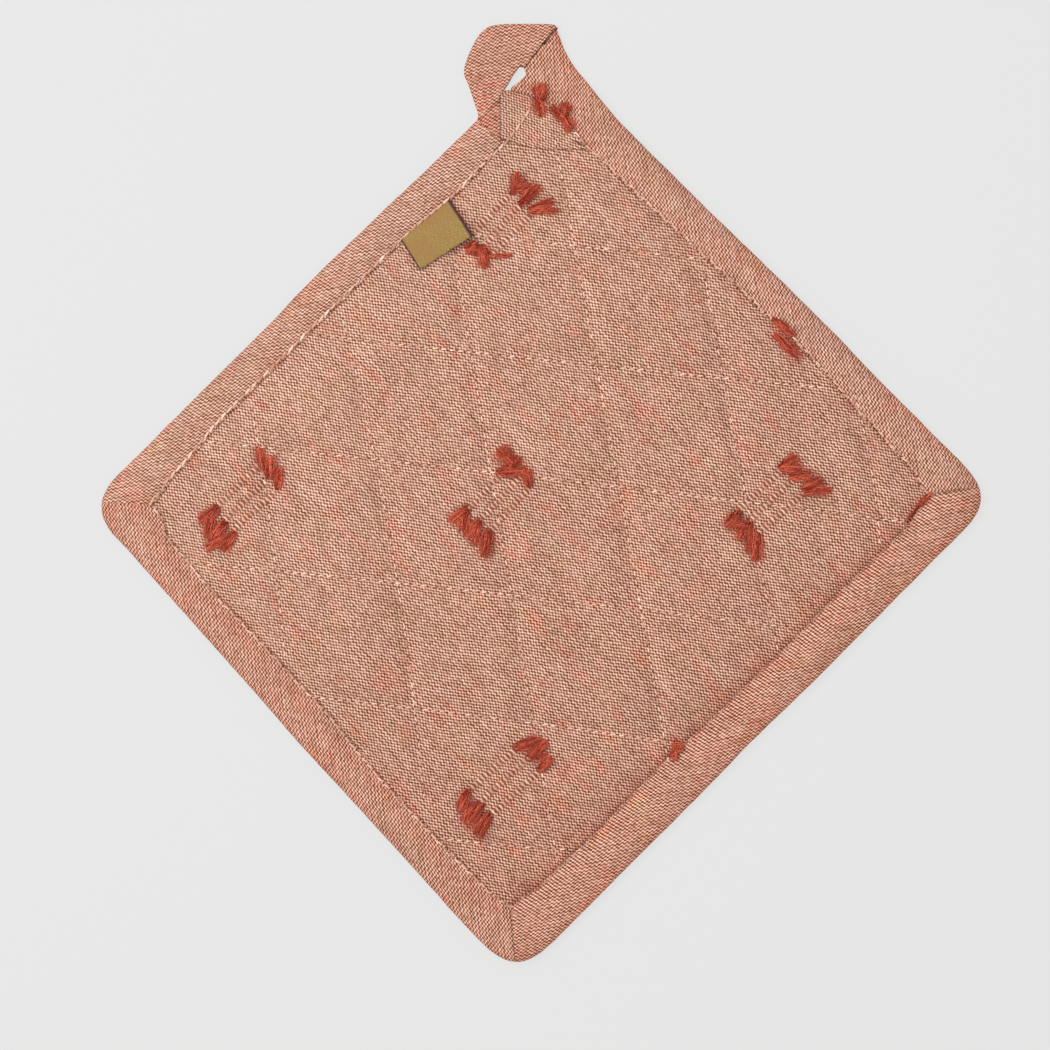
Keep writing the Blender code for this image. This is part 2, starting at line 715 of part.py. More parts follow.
def make_tuft(name, locks, surface, material):
    """A backing along the roots and the locks that grow from it, joined into one body."""
    frame = backing_frame([Vector(lock[0:2]) for lock in locks])
    middle = sum(frame, Vector((0.0, 0.0))) / len(frame)
    spots = [corner.lerp(middle, share) for corner in frame for share in (0.0, 0.5, 1.0)]
    base = max(surface.height_around(*spot, 1.0) for spot in spots) + GAP

    backing = bmesh.new()
    floor = backing.faces.new([backing.verts.new((*corner, base)) for corner in frame])
    grown = bmesh.ops.extrude_face_region(backing, geom=[floor])
    for item in grown["geom"]:
        if isinstance(item, bmesh.types.BMVert):
            item.co.z += BACKING_THICKNESS
    tuft = add_piece(name, backing, material)

    yarn = bmesh.new()
    for lock in locks:
        bridge_sections(yarn, lock_sections(surface, lock, base + 0.75 * BACKING_THICKNESS))
    guide = add_piece(name + "_locks", yarn, material)
    guide.hide_render = True
    guide.display_type = "WIRE"
    join = tuft.modifiers.new("locks", "BOOLEAN")
    join.operation = "UNION"
    join.object = guide
    join.use_self = True
    return tuft


def build():
    remove_existing_objects()
    materials = make_materials()
    sides = make_sides()
    panel = make_panel(sides, materials["chambray"])
    binding = make_binding(sides, materials["chambray"])
    loop = make_loop(materials["chambray"])
    fold = make_corner_fold(materials["chambray"])
    surface = Surface((panel, binding, loop, fold))
    make_label(surface, materials["label_weave"])
    for name, locks in TUFTS.items():
        make_tuft(name, locks, surface, materials["tuft_yarn"])


build()
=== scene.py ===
"""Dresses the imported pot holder: woven cloth, quilting, bound edge, loop, label and yarn tufts.

Sizes are millimetres in the same frame as the CAD until a mesh is written, which scales them to
metres. Heights of whatever is laid on the cloth are found on the finished pieces below it.
"""

import math
import random
import bmesh
import bpy
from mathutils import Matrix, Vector, noise
from mathutils.bvhtree import BVHTree


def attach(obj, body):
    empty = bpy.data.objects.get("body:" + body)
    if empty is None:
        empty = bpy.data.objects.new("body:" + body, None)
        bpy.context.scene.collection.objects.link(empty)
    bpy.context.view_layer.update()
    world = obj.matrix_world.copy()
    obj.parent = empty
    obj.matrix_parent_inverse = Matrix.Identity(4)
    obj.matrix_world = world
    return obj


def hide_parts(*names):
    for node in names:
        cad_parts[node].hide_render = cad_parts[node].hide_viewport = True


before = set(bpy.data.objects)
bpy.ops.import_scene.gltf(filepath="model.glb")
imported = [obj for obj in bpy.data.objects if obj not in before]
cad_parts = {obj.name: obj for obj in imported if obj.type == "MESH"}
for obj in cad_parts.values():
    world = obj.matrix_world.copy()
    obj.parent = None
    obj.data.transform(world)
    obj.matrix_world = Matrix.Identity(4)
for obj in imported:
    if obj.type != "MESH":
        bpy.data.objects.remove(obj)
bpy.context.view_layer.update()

MM = 0.001

# ---------------------------------------------------------------- the pad, its binding and loop

CORNERS = {"top": (1.7, 150.0), "left": (-153.6, -4.6), "bottom": (-9.5, -164.8),
           "right": (154.2, -1.6)}
# Each side: the corners it joins, and the binding's width at its start, along it and at its end.
SIDES = (
    ("top", "left", 11.9, (11.8, 13.5, 11.8, 11.6, 11.6, 11.6, 13.6), 15.0),
    ("left", "bottom", 16.2, (12.9, 12.1, 12.8, 13.3, 12.0, 12.4, 13.7), 15.6),
    ("bottom", "right", 18.0, (16.4, 15.8, 16.4, 15.3, 14.8, 15.2, 14.8), 16.4),
    ("right", "top", 16.0, (13.8, 12.7, 11.0, 11.6, 12.5, 13.5, 14.3), 14.3),
)
# How far the bound edge strays inwards from a straight line, evenly spaced along each side.
EDGE_DRIFT = (
    (0.90, 0.75, 0.10, -0.35, 0.25, 0.15, 0.25),
    (0.15, 0.10, -0.05, -0.45, -0.15, 0.05, 0.05),
    (-0.50, -0.35, -0.35, 0.10, -0.35, -0.15, 0.05),
    (0.60, 0.50, -0.10, 0.00, 0.40, 0.50, 0.40),
)
BINDING_START = 34.0          # along the first side
BINDING_END = 34.8            # short of the last side's end
INNER_BEND = 2.5              # radius of the binding's inner corners
INNER_SQUARENESS = 4.0
OUTER_SQUARENESS = {1: 2.65, 2: 3.5, 3: 3.1}
# The crease at each mitred corner: its place round the corner from 0 to 1, and its depth, which
# also sets how dark the painted shadow beside it is.
MITRES = {1: (0.50, 0.35), 2: (0.565, 0.9), 3: (0.60, 1.0)}
EDGE_LAP = (0.70, 0.60, 0.05, 0.75)       # how far each side's strip laps over the pad

# The strip's section, as heights and two sizes of the pocket that holds the pad.
CREST = 6.05
MID_EDGE = 2.9
STITCH_DIP = 5.07
FLAP_TOP = 4.95
FLAP_UNDERSIDE = 4.3
HEM_THICKNESS = 0.8
POCKET_INSET = 1.7
FLAP_POINTS = 5               # of the section's points, from its inner edge outwards
RIM_POINTS = 12
STATION_PITCH = 1.6           # of the sections along a straight side
END_REACH = 9.0               # over which the strip's unevenness fades out at its ends

HALF_SPAN = 150.0             # from the pad's middle to its corners
PUFF_HEIGHT = 6.3             # of its top, away from its seams
CROWN = 0.9                   # added to that at the middle
CHANNEL_DEPTH = 1.5           # of the quilting in the pad's top
CHANNEL_REACH = 3.4
GROOVE_DEPTH = 0.29           # of the narrow line right under the stitches
GROOVE_REACH = 1.6
UNDER_DEPTH = 0.7             # of the quilting in its underside
UNDER_REACH = 2.6
UNDER_SETTLE = 6.0
NEAR_SEAM = 6.0               # how far from a seam the cloth ripples
LADDER_SINK = 0.22            # how deep the raised threads draw the cloth in
ROLL = 0.35                   # height of the cloth's roll beside the binding
RIM_TOP = 4.0                 # of the pad's edge, which the binding presses flat
RIM_BOTTOM = 1.1
RIM_FLAT = 1.0
RIM_RISE = 13.0
RIM_INSET = 3.3
TOP_EDGE = 114.8              # the pad's cut edge under the corner fold
TOP_EDGE_BEND = -4.2
TOP_EDGE_SLOPE = 0.40
TOP_EDGE_RISE = 0.35
TUCKED = 1.5                  # how far the cloth runs on under the fold
CORNER_CUT = 13.5
GRID_STEP = 1.0
GRID_FADE = 14.0

# Quilting seams across the pad and down it: one end, the other end, and how far they bow out.
ACROSS_SEAMS = (
    (-22.4, 86.2, 53.5, 78.5, 0.0),
    (-77.1, 52.8, 95.7, 34.9, -0.4),
    (-115.3, 17.0, 121.0, -10.0, 0.7),
    (-118.6, -24.1, 85.6, -46.1, 0.8),
    (-77.5, -69.4, 46.7, -85.2, 0.8),
    (-34.3, -116.9, 13.0, -121.0, -0.6),
)
DOWN_SEAMS = (
    (-97.4, 26.8, -86.6, -55.2, 0.9),
    (-67.0, 57.9, -39.7, -104.1, 3.5),
    (-29.2, 79.8, 5.9, -127.7, -0.3),
    (4.6, 118.6, 42.7, -90.6, 0.2),
    (54.5, 76.4, 79.8, -53.5, -0.8),
    (105.8, 32.6, 114.2, -18.1, 1.3),
)

# Sections across the loop: outer point, inner point, heights of its underside and its top.
LOOP_SECTIONS = (
    (25.45, 124.65, 16.25, 115.4, 0.0, 6.0),
    (19.8, 132.7, 11.6, 121.8, 0.1, 5.4),
    (15.1, 138.7, 4.7, 129.6, 0.3, 4.2),
    (11.8, 142.6, -2.2, 132.5, 0.3, 3.4),
    (8.6, 147.7, -10.3, 135.6, 0.2, 2.9),
    (6.6, 152.4, -5.6, 140.2, 0.1, 2.7),
    (4.9, 157.3, -5.85, 143.2, 0.1, 2.6),
    (4.5, 157.9, -6.15, 143.45, 0.1, 3.6),
    (-3.9, 158.1, -7.4, 143.6, 0.1, 3.4),
    (-15.0, 157.8, -8.4, 142.4, 0.1, 3.2),
    (-19.7, 155.8, -9.3, 141.2, 0.1, 3.2),
    (-23.3, 150.6, -10.1, 139.9, 0.1, 3.2),
    (-26.2, 142.3, -11.1, 138.0, 0.2, 3.4),
    (-24.5, 136.9, -12.3, 136.2, 0.4, 3.8),
    (-22.6, 131.1, -13.9, 133.5, 0.8, 4.4),
    (-21.4, 127.4, -13.9, 128.1, 1.2, 4.9),
    (-21.9, 126.25, -13.9, 118.0, 1.4, 5.3),
)
MITRE_ROW = 7                 # the loop is mitred between this section and the one before it

# The corner fold: its lower edge over the pad, its upper one at the foot of the slot, the least x
# at which it lies along the loop's right part, and the range of y in which along its left part.
FOLD_LOWER = ((-10.3, 118.0), (-4.2, 115.9), (2.9, 115.4))
FOLD_UPPER = ((-6.2, 134.4), (-10.2, 135.4))
FOLD_RIGHT_END = -2.5
FOLD_LEFT_ENDS = (118.5, 135.6)
FOLD_TOP = 5.75
FOOT_CREASE = ((-11.6, 135.2), (-19.7, 127.1))   # where the loop's left end is folded under
FOOT_END = 137.0              # nothing above this y is folded under
NOT_UNDER = -9.0              # a depth that is well clear of that crease

LOOP_LEFT_LENGTH = 40.0       # along the first side, whose shades its left part has

LABEL_CORNERS = ((-47.4, 84.7), (-30.9, 98.4), (-23.3, 86.5), (-41.3, 74.9))
LABEL_WIDTH, LABEL_LENGTH = 21.4, 14.6
RIBBON = 0.32                 # thickness of the label's ribbon
BACK_LEVEL, FRONT_LEVEL = 0.12, 0.60      # of its two layers, over the cloth
LAYERS_CLOSE = 0.25           # how far the front one drops to the back one at the binding

# The locks of each tuft: root, tip and width.
TUFTS = {
    "tuft_a_upper": (
        (-9.6, 101.1, -7.9, 107.2, 2.7), (-7.9, 102.1, -4.2, 103.8, 2.7),
        (-6.6, 97.4, -0.8, 102.8, 3.0), (-3.5, 94.7, 3.9, 97.4, 2.7),
        (-1.9, 94.3, 5.6, 94.7, 1.4)),
    "tuft_a_lower": (
        (-22.4, 83.5, -25.5, 80.8, 2.4), (-21.4, 82.5, -22.8, 79.5, 2.4),
        (-20.4, 81.8, -18.4, 78.5, 3.0), (-18.7, 79.5, -20.1, 75.4, 2.4),
        (-18.1, 79.1, -10.3, 79.5, 1.0)),
    "tuft_b_upper": (
        (-0.8, 132.5, -0.5, 137.5, 3.7), (-1.5, 132.1, 0.5, 126.7, 2.7)),
    "tuft_b_lower": (
        (3.9, 129.1, 6.9, 125.7, 2.4), (7.3, 126.4, 8.6, 131.1, 2.7),
        (7.3, 126.1, 10.3, 121.7, 3.0)),
    "tuft_c_upper": (
        (80.8, 8.3, 86.2, 12.0, 3.0), (81.5, 7.6, 87.9, 7.6, 2.4),
        (84.2, 4.9, 91.3, 5.2, 2.7), (88.3, 1.2, 94.7, 3.9, 2.4),
        (88.9, -0.2, 97.7, 0.5, 2.7)),
    "tuft_c_lower": (
        (66.3, -7.3, 62.3, -12.3, 3.0), (69.7, -10.6, 66.3, -16.4, 2.7),
        (70.0, -11.3, 64.0, -11.3, 2.0), (70.7, -12.3, 70.7, -20.8, 2.4),
        (73.1, -15.0, 72.1, -23.5, 2.7)),
    "tuft_d_upper": (
        (-9.6, 9.3, -14.3, 14.3, 4.1), (-14.3, 6.6, -5.6, 6.9, 2.7),
        (-10.3, 8.3, -7.3, 11.6, 2.4), (-3.9, 2.2, -5.9, 7.9, 2.4)),
    "tuft_d_lower": (
        (-25.1, -5.9, -30.9, -10.0, 2.4), (-25.5, -7.3, -26.5, -14.0, 2.7),
        (-21.1, -10.3, -25.5, -15.7, 3.0), (-21.1, -11.3, -22.1, -18.1, 2.4),
        (-17.7, -13.7, -19.4, -22.1, 3.4)),
    "tuft_e_upper": (
        (-94.3, 8.3, -95.4, 14.9, 2.2), (-91.6, 5.2, -92.0, 12.0, 3.0),
        (-88.8, 1.8, -88.6, 8.4, 2.7)),
    "tuft_e_lower": (
        (-109.4, -5.8, -114.9, -10.6, 2.8), (-110.9, -7.9, -112.2, -15.7, 2.7),
        (-106.8, -11.0, -111.2, -16.7, 3.0), (-104.1, -14.3, -107.8, -19.7, 3.4),
        (-108.2, -16.4, -113.2, -19.1, 2.4)),
    "tuft_f_upper": (
        (-8.3, -85.9, -0.5, -83.5, 3.0), (-3.9, -89.6, -0.2, -85.6, 3.0),
        (-1.9, -86.9, 1.9, -84.2, 2.4), (-0.2, -93.3, 2.5, -88.9, 3.4)),
    "tuft_f_lower": (
        (-25.1, -101.4, -27.8, -107.8, 3.0), (-20.8, -105.5, -25.5, -111.9, 3.4),
        (-23.8, -106.1, -26.2, -111.2, 2.4), (-17.7, -109.2, -22.1, -115.9, 3.4)),
    "tuft_g_edge": ((78.8, 57.5, 85.0, 52.3, 2.0), (79.1, 52.5, 87.2, 45.1, 2.5)),
    "tuft_h_edge": ((47.1, -85.9, 43.7, -85.6, 2.7), (45.7, -87.6, 44.0, -90.3, 2.0)),
    "tuft_k_edge": ((130.4, -1.3, 126.9, -5.3, 1.2), (127.2, -4.9, 122.7, -10.1, 0.6)),
}

# ---------------------------------------------------------------- shades, sewing and weave

# Shades of the strip on each side: light and redness of its face; then of a streak beside its
# sewn edge, with the streak's distance from that edge and reach; and how ribbed its weave is there.
# The light is painted light and shade, and the redness partly painted shade: the lower right side,
# which lies away from the light, is darkest and reddest beside its sewn edge.
STRIP_TONES = (
    (0.00, 0.03, 0.02, 0.00, 0.0, 1.5, 0.0),
    (-0.01, 0.11, -0.04, 0.12, 3.2, 2.2, 0.0),
    (0.01, 0.16, -0.11, 0.05, 0.0, 1.3, 0.85),
    (0.00, 0.08, 0.00, 0.02, 0.0, 1.5, 0.0),
)
# Shades of the pad beside each side's binding: light, which is painted light and shade; redness,
# partly the cloth's own and partly painted shade; reach; and a painted shadow line right at its
# edge.
PAD_EDGE_TONES = ((0.01, 0.04, 1.3, 0.0), (0.02, 0.04, 1.3, 0.04), (-0.05, 0.19, 4.5, 0.15),
                  (0.01, 0.08, 2.8, 0.04))
# Painted shade and light at each side's folded strip edge: a painted shadow line right at the
# edge, and a painted highlight on the fold behind it.
STRIP_RIM_SHADOW_AND_HIGHLIGHT = ((0.0, 0.0), (-0.10, 0.02), (-0.34, 0.07), (-0.14, 0.03))
# The sewing of each side's edge: distance from the inner edge, thread radius, stand, shade. The
# shade is painted: the same thread is darkest on the lower right side, which lies in shade.
EDGE_SEWING = ((0.26, 0.42, 0.34, 0.88), (0.06, 0.31, 0.26, 0.80),
               (0.60, 0.23, 0.14, 0.50), (0.10, 0.27, 0.20, 0.78))
RED_PATCH = (-137.5, -1.0)    # by the left corner's crease
# The first side's sewing where it starts on the corner fold, and the tacking at the loop's foot.
FOLD_SEAM = ((-3.8, 128.7), (-5.0, 127.2), (-6.85, 124.2), (-8.7, 121.8), (-11.1, 118.8),
             (-14.1, 115.8), (-17.7, 112.1), (-20.75, 109.4))
FOLD_SEAM_END = 47.0          # along the first side
LOOP_TACK = ((11.3, 121.3), (14.7, 116.9), (18.3, 113.6))
# Threads per millimetre, as a direction across each set of threads: (cream, rust). On the pad they
# are along x and y; on the strip, which is cut on the bias, along it and across it inwards.
PAD_THREADS = ((1.220, 1.162), (0.880, -0.838))
STRIP_THREADS = ((1.018, 1.444), (0.768, -1.070))
# Each channel of the cloth: at its darkest, at its lightest, and how slowly it rises between.
CLOTH_CHANNELS = ((0.128, 0.99, 1.0), (0.037, 0.685, 1.18), (0.014, 0.570, 1.30))
ALONG_CREAM = Vector((math.cos(math.radians(-44.8)), math.sin(math.radians(-44.8))))
ALONG_RUST = Vector((math.cos(math.radians(44.9)), math.sin(math.radians(44.9))))

# Rows of raised threads between a pair of tufts: upper end, lower end.
LADDER_ROWS = (
    (-10.0, 100.7, -22.4, 87.6), (-6.9, 97.0, -19.4, 82.5), (-3.5, 93.3, -17.0, 79.5),
    (80.5, 6.6, 67.0, -5.6), (84.2, 3.5, 70.4, -9.6), (88.3, -0.8, 73.4, -13.7),
    (-14.0, 5.2, -25.1, -6.2), (-7.3, 4.9, -20.4, -9.6), (-4.6, 0.8, -16.7, -13.0),
    (-95.7, 8.3, -109.5, -5.2), (-93.3, 3.2, -106.5, -9.3), (-90.3, -0.5, -103.8, -13.0),
    (-8.6, -86.6, -24.1, -100.4), (-4.6, -89.9, -20.1, -104.1), (-0.5, -94.0, -16.0, -108.2),
)
LADDER_PITCH = 1.5
LADDER_BAR = 2.0
STITCH_LENGTH = 2.9
STITCH_RADIUS = 0.25
LOCK_SHARE = 0.86             # of a lock's width that its own strands fill
STRANDS_PER_MM = 17.0         # of that width; as many thin ones lie round them
NO_WEAVE = (0.0, 0.0)         # where a thread or a cut end has no place in the weave
# Beads of a stitch and of a raised thread: place along it, height and thickness.
STITCH_BEADS = ((0.0, -0.9, 0.55), (0.12, 0.2, 0.9), (0.35, 0.9, 1.0),
                (0.65, 0.9, 1.0), (0.88, 0.2, 0.9), (1.0, -0.9, 0.55))
LADDER_BEADS = ((-1.0, -0.7, 0.6), (-0.7, 0.4, 0.95), (0.0, 1.0, 1.0),
                (0.7, 0.4, 0.95), (1.0, -0.7, 0.6))


# ---------------------------------------------------------------- small helpers


def smooth_step(value):
    t = min(max(value, 0.0), 1.0)
    return t * t * (3.0 - 2.0 * t)


def bell(distance, reach):
    return math.exp(-(distance / reach) ** 2)


def wander(x, y, scale, seed):
    """Smooth noise from about -1 to 1."""
    return noise.noise(Vector((x / scale, y / scale, seed)))


def to_left(direction):
    """A direction turned left by a right angle."""
    return Vector((-direction.y, direction.x))


def distances_along(points):
    """How far one has come at each of a row of points."""
    lengths = [0.0]
    for before, after in zip(points, points[1:]):
        lengths.append(lengths[-1] + (after - before).length)
    return lengths


def in_scene(name, data):
    """A new object, linked into the scene."""
    made = bpy.data.objects.new(name, data)
    bpy.context.scene.collection.objects.link(made)
    return made


def pad_weave(spot):
    """Thread numbers at a point of the pad."""
    return tuple(x * spot.x + y * spot.y + 400.0 for x, y in PAD_THREADS)


def strip_weave(along, inward):
    """Thread numbers at a point of the strip, whose grain is slanting."""
    return tuple(x * along + y * inward + 900.0 for x, y in STRIP_THREADS)


def between_stops(stops, place):
    """A value that changes smoothly from stop to stop."""
    if place <= stops[0][0]:
        return stops[0][1]
    for (low, at_low), (high, at_high) in zip(stops, stops[1:]):
        if place <= high:
            return at_low + (at_high - at_low) * smooth_step((place - low) / (high - low))
    return stops[-1][1]


class Side:
    """One side of the pad: a straight outer edge, and the binding's width and drift along it."""

    def __init__(self, start, end, first, widths, last, drifts):
        self.start, end = Vector(CORNERS[start]), Vector(CORNERS[end])
        self.length = (end - self.start).length
        self.along = (end - self.start).normalized()
        self.inward = to_left(self.along)
        step = self.length / (len(widths) + 1)
        self.widths = [(0.7 * step, first)]
        self.widths += [(step * (i + 1), width) for i, width in enumerate(widths)]
        self.widths += [(self.length - 0.7 * step, last)]
        self.drifts = [(step * (i + 1), drift) for i, drift in enumerate(drifts)]

    def width(self, place):
        return between_stops(self.widths, place)

    def drift(self, place):
        return between_stops(self.drifts, place)

    def point(self, place, inset):
        return self.start + self.along * place + self.inward * inset

    def place_of(self, spot):
        return (spot - self.start).dot(self.along)

    def inset_of(self, spot):
        return (spot - self.start).dot(self.inward)


sides = [Side(*row, drifts) for row, drifts in zip(SIDES, EDGE_DRIFT)]


def crossing(side, inset, other, other_inset):
    """Where a line at an inset from one side crosses a line at an inset from another."""
    gap = other.point(0.0, other_inset) - side.point(0.0, inset)
    turn = side.along.x * other.along.y - side.along.y * other.along.x
    return side.point((gap.x * other.along.y - gap.y * other.along.x) / turn, inset)


class Sheet:
    """Collects points with their tones, and faces. A face's corner is a point's number and its
    place in the weave."""

    def __init__(self):
        self.points, self.tones, self.faces, self.weave = [], [], [], []

    def point(self, place, tone=(0.5, 0.5, 0.5)):
        self.points.append(tuple(place))
        self.tones.append(tone)
        return len(self.points) - 1

    def face(self, corners):
        self.faces.append(tuple(point for point, _ in corners))
        self.weave.extend(place for _, place in corners)

    def band(self, low, high, closed=True):
        """Faces between two rows of corners, or between two rings of them."""
        count = len(low)
        for i in range(count if closed else count - 1):
            j = (i + 1) % count
            self.face((low[i], low[j], high[j], high[i]))

    def cap(self, ring):
        """The cut end of a strip or a thread."""
        self.face([(point, NO_WEAVE) for point, _ in ring])

    def finish(self, name, material):
        mesh = bpy.data.meshes.new(name)
        mesh.from_pydata([(x * MM, y * MM, z * MM) for x, y, z in self.points], [], self.faces)
        layer = mesh.uv_layers.new(name="weave")
        layer.data.foreach_set("uv", [value for pair in self.weave for value in pair])
        tone = mesh.color_attributes.new("tone", "FLOAT_COLOR", "POINT")
        tone.data.foreach_set("color", [value for t in self.tones for value in (*t, 1.0)])
        bm = bmesh.new()
        bm.from_mesh(mesh)
        for face in bm.faces:
            face.smooth = True
            if len(face.verts) > 8:         # the cut end of a strip keeps a crisp edge
                for edge in face.edges:
                    edge.smooth = False
        bmesh.ops.triangulate(bm, faces=[f for f in bm.faces if len(f.verts) > 4])
        bmesh.ops.recalc_face_normals(bm, faces=bm.faces)
        bm.to_mesh(mesh)
        bm.free()
        mesh.materials.append(material)
        piece = in_scene(name, mesh)
        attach(piece, "root")
        return piece


class Surface:
    """The tops of finished pieces, for what is laid on them."""

    def __init__(self, pieces):
        self.trees = []
        for piece in pieces:
            bm = bmesh.new()
            bm.from_mesh(piece.data)
            self.trees.append(BVHTree.FromBMesh(bm))
            bm.free()

    def height(self, x, y):
        above_all = Vector((x * MM, y * MM, 100.0 * MM))
        hits = [tree.ray_cast(above_all, Vector((0.0, 0.0, -1.0)))[0] for tree in self.trees]
        return max([0.0] + [hit.z / MM for hit in hits if hit is not None])

    def over(self, spot, up):
        """The point at a height over whatever lies at a spot."""
        return Vector((spot.x, spot.y, self.height(spot.x, spot.y) + up))


# ---------------------------------------------------------------- materials


class Graph:
    """Short names for building a material's nodes."""

    def __init__(self, name):
        self.material = bpy.data.materials.new(name)
        self.material.use_nodes = True
        self.tree = self.material.node_tree
        self.shader = self.tree.nodes["Principled BSDF"]

    def put(self, socket, value):
        if isinstance(value, bpy.types.NodeSocket):
            self.tree.links.new(value, socket)
        elif socket.type == "RGBA":
            socket.default_value = (*value, 1.0)
        else:
            socket.default_value = value

    def node(self, kind, inputs=None, **settings):
        """The outputs of a new node, whose inputs are given by name or number."""
        made = self.tree.nodes.new("ShaderNode" + kind)
        for name, value in settings.items():
            setattr(made, name, value)
        for key, value in (inputs or {}).items():
            self.put(made.inputs[key], value)
        return made.outputs

    def math(self, operation, *values):
        return self.node("Math", dict(enumerate(values)), operation=operation)[0]

    def add(self, a, b):
        return self.math("ADD", a, b)

    def times(self, a, b):
        return self.math("MULTIPLY", a, b)

    def minus(self, a, b):
        return self.math("SUBTRACT", a, b)

    def combine(self, x, y, z=0.0):
        return self.node("CombineXYZ", {0: x, 1: y, 2: z})[0]

    def separate(self, vector):
        return self.node("SeparateXYZ", {0: vector})

    def noise(self, vector, scale, detail=2.0, roughness=0.5):
        return self.node("TexNoise", {"Vector": vector, "Scale": scale, "Detail": detail,
                                      "Roughness": roughness})

    def stretched(self, x, y, x_scale, y_scale, seed=0.0, detail=2.0, roughness=0.5):
        """Noise over two numbers, with a scale for each."""
        place = self.combine(self.times(x, x_scale), self.times(y, y_scale), seed)
        return self.noise(place, 1.0, detail, roughness)[0]

    def mix(self, share, a, b, blend="MIX"):
        return self.node("Mix", {"Factor": share, 6: a, 7: b}, data_type="RGBA",
                         blend_type=blend, clamp_factor=True)[2]

    def tinted(self, colour, tint, share=1.0):
        return self.mix(share, colour, tint, "MULTIPLY")

    def blend(self, share, a, b):
        """Two numbers, mixed."""
        return self.node("Mix", {0: share, 2: a, 3: b}, data_type="FLOAT")[0]

    def ramp(self, value, low, high, to_low=0.0, to_high=1.0):
        return self.node("MapRange", {0: value, 1: low, 2: high, 3: to_low, 4: to_high},
                         interpolation_type="SMOOTHSTEP")[0]

    def weave(self):
        return self.node("UVMap", uv_map="weave")[0]

    def tone(self):
        found = self.node("Attribute", attribute_name="tone")["Color"]
        return self.node("SeparateColor", {0: found})

    def place(self):
        return self.node("TexCoord")["Object"]

    def bump(self, height, distance, strength):
        bumped = self.node("Bump", {"Strength": strength, "Distance": distance, "Height": height})
        self.put(self.shader.inputs["Normal"], bumped[0])

    def surface(self, colour, roughness, sheen, specular):
        for name, value in (("Base Color", colour), ("Roughness", roughness),
                            ("Specular IOR Level", specular), ("Sheen Weight", sheen),
                            ("Sheen Roughness", 0.5)):
            self.put(self.shader.inputs[name], value)
        return self.material


# The weave: how far its threads stray and jog, counted in threads, and the heights of its floats,
# their slant, its ribs, the unevenness of single floats and the bumps of its fibres.
STRAY, JOG = 3.0, 0.60
FLOAT, SLANT, RIB, UNEVEN, FIBRE = 0.60, 0.06, 0.30, 0.36, 0.3


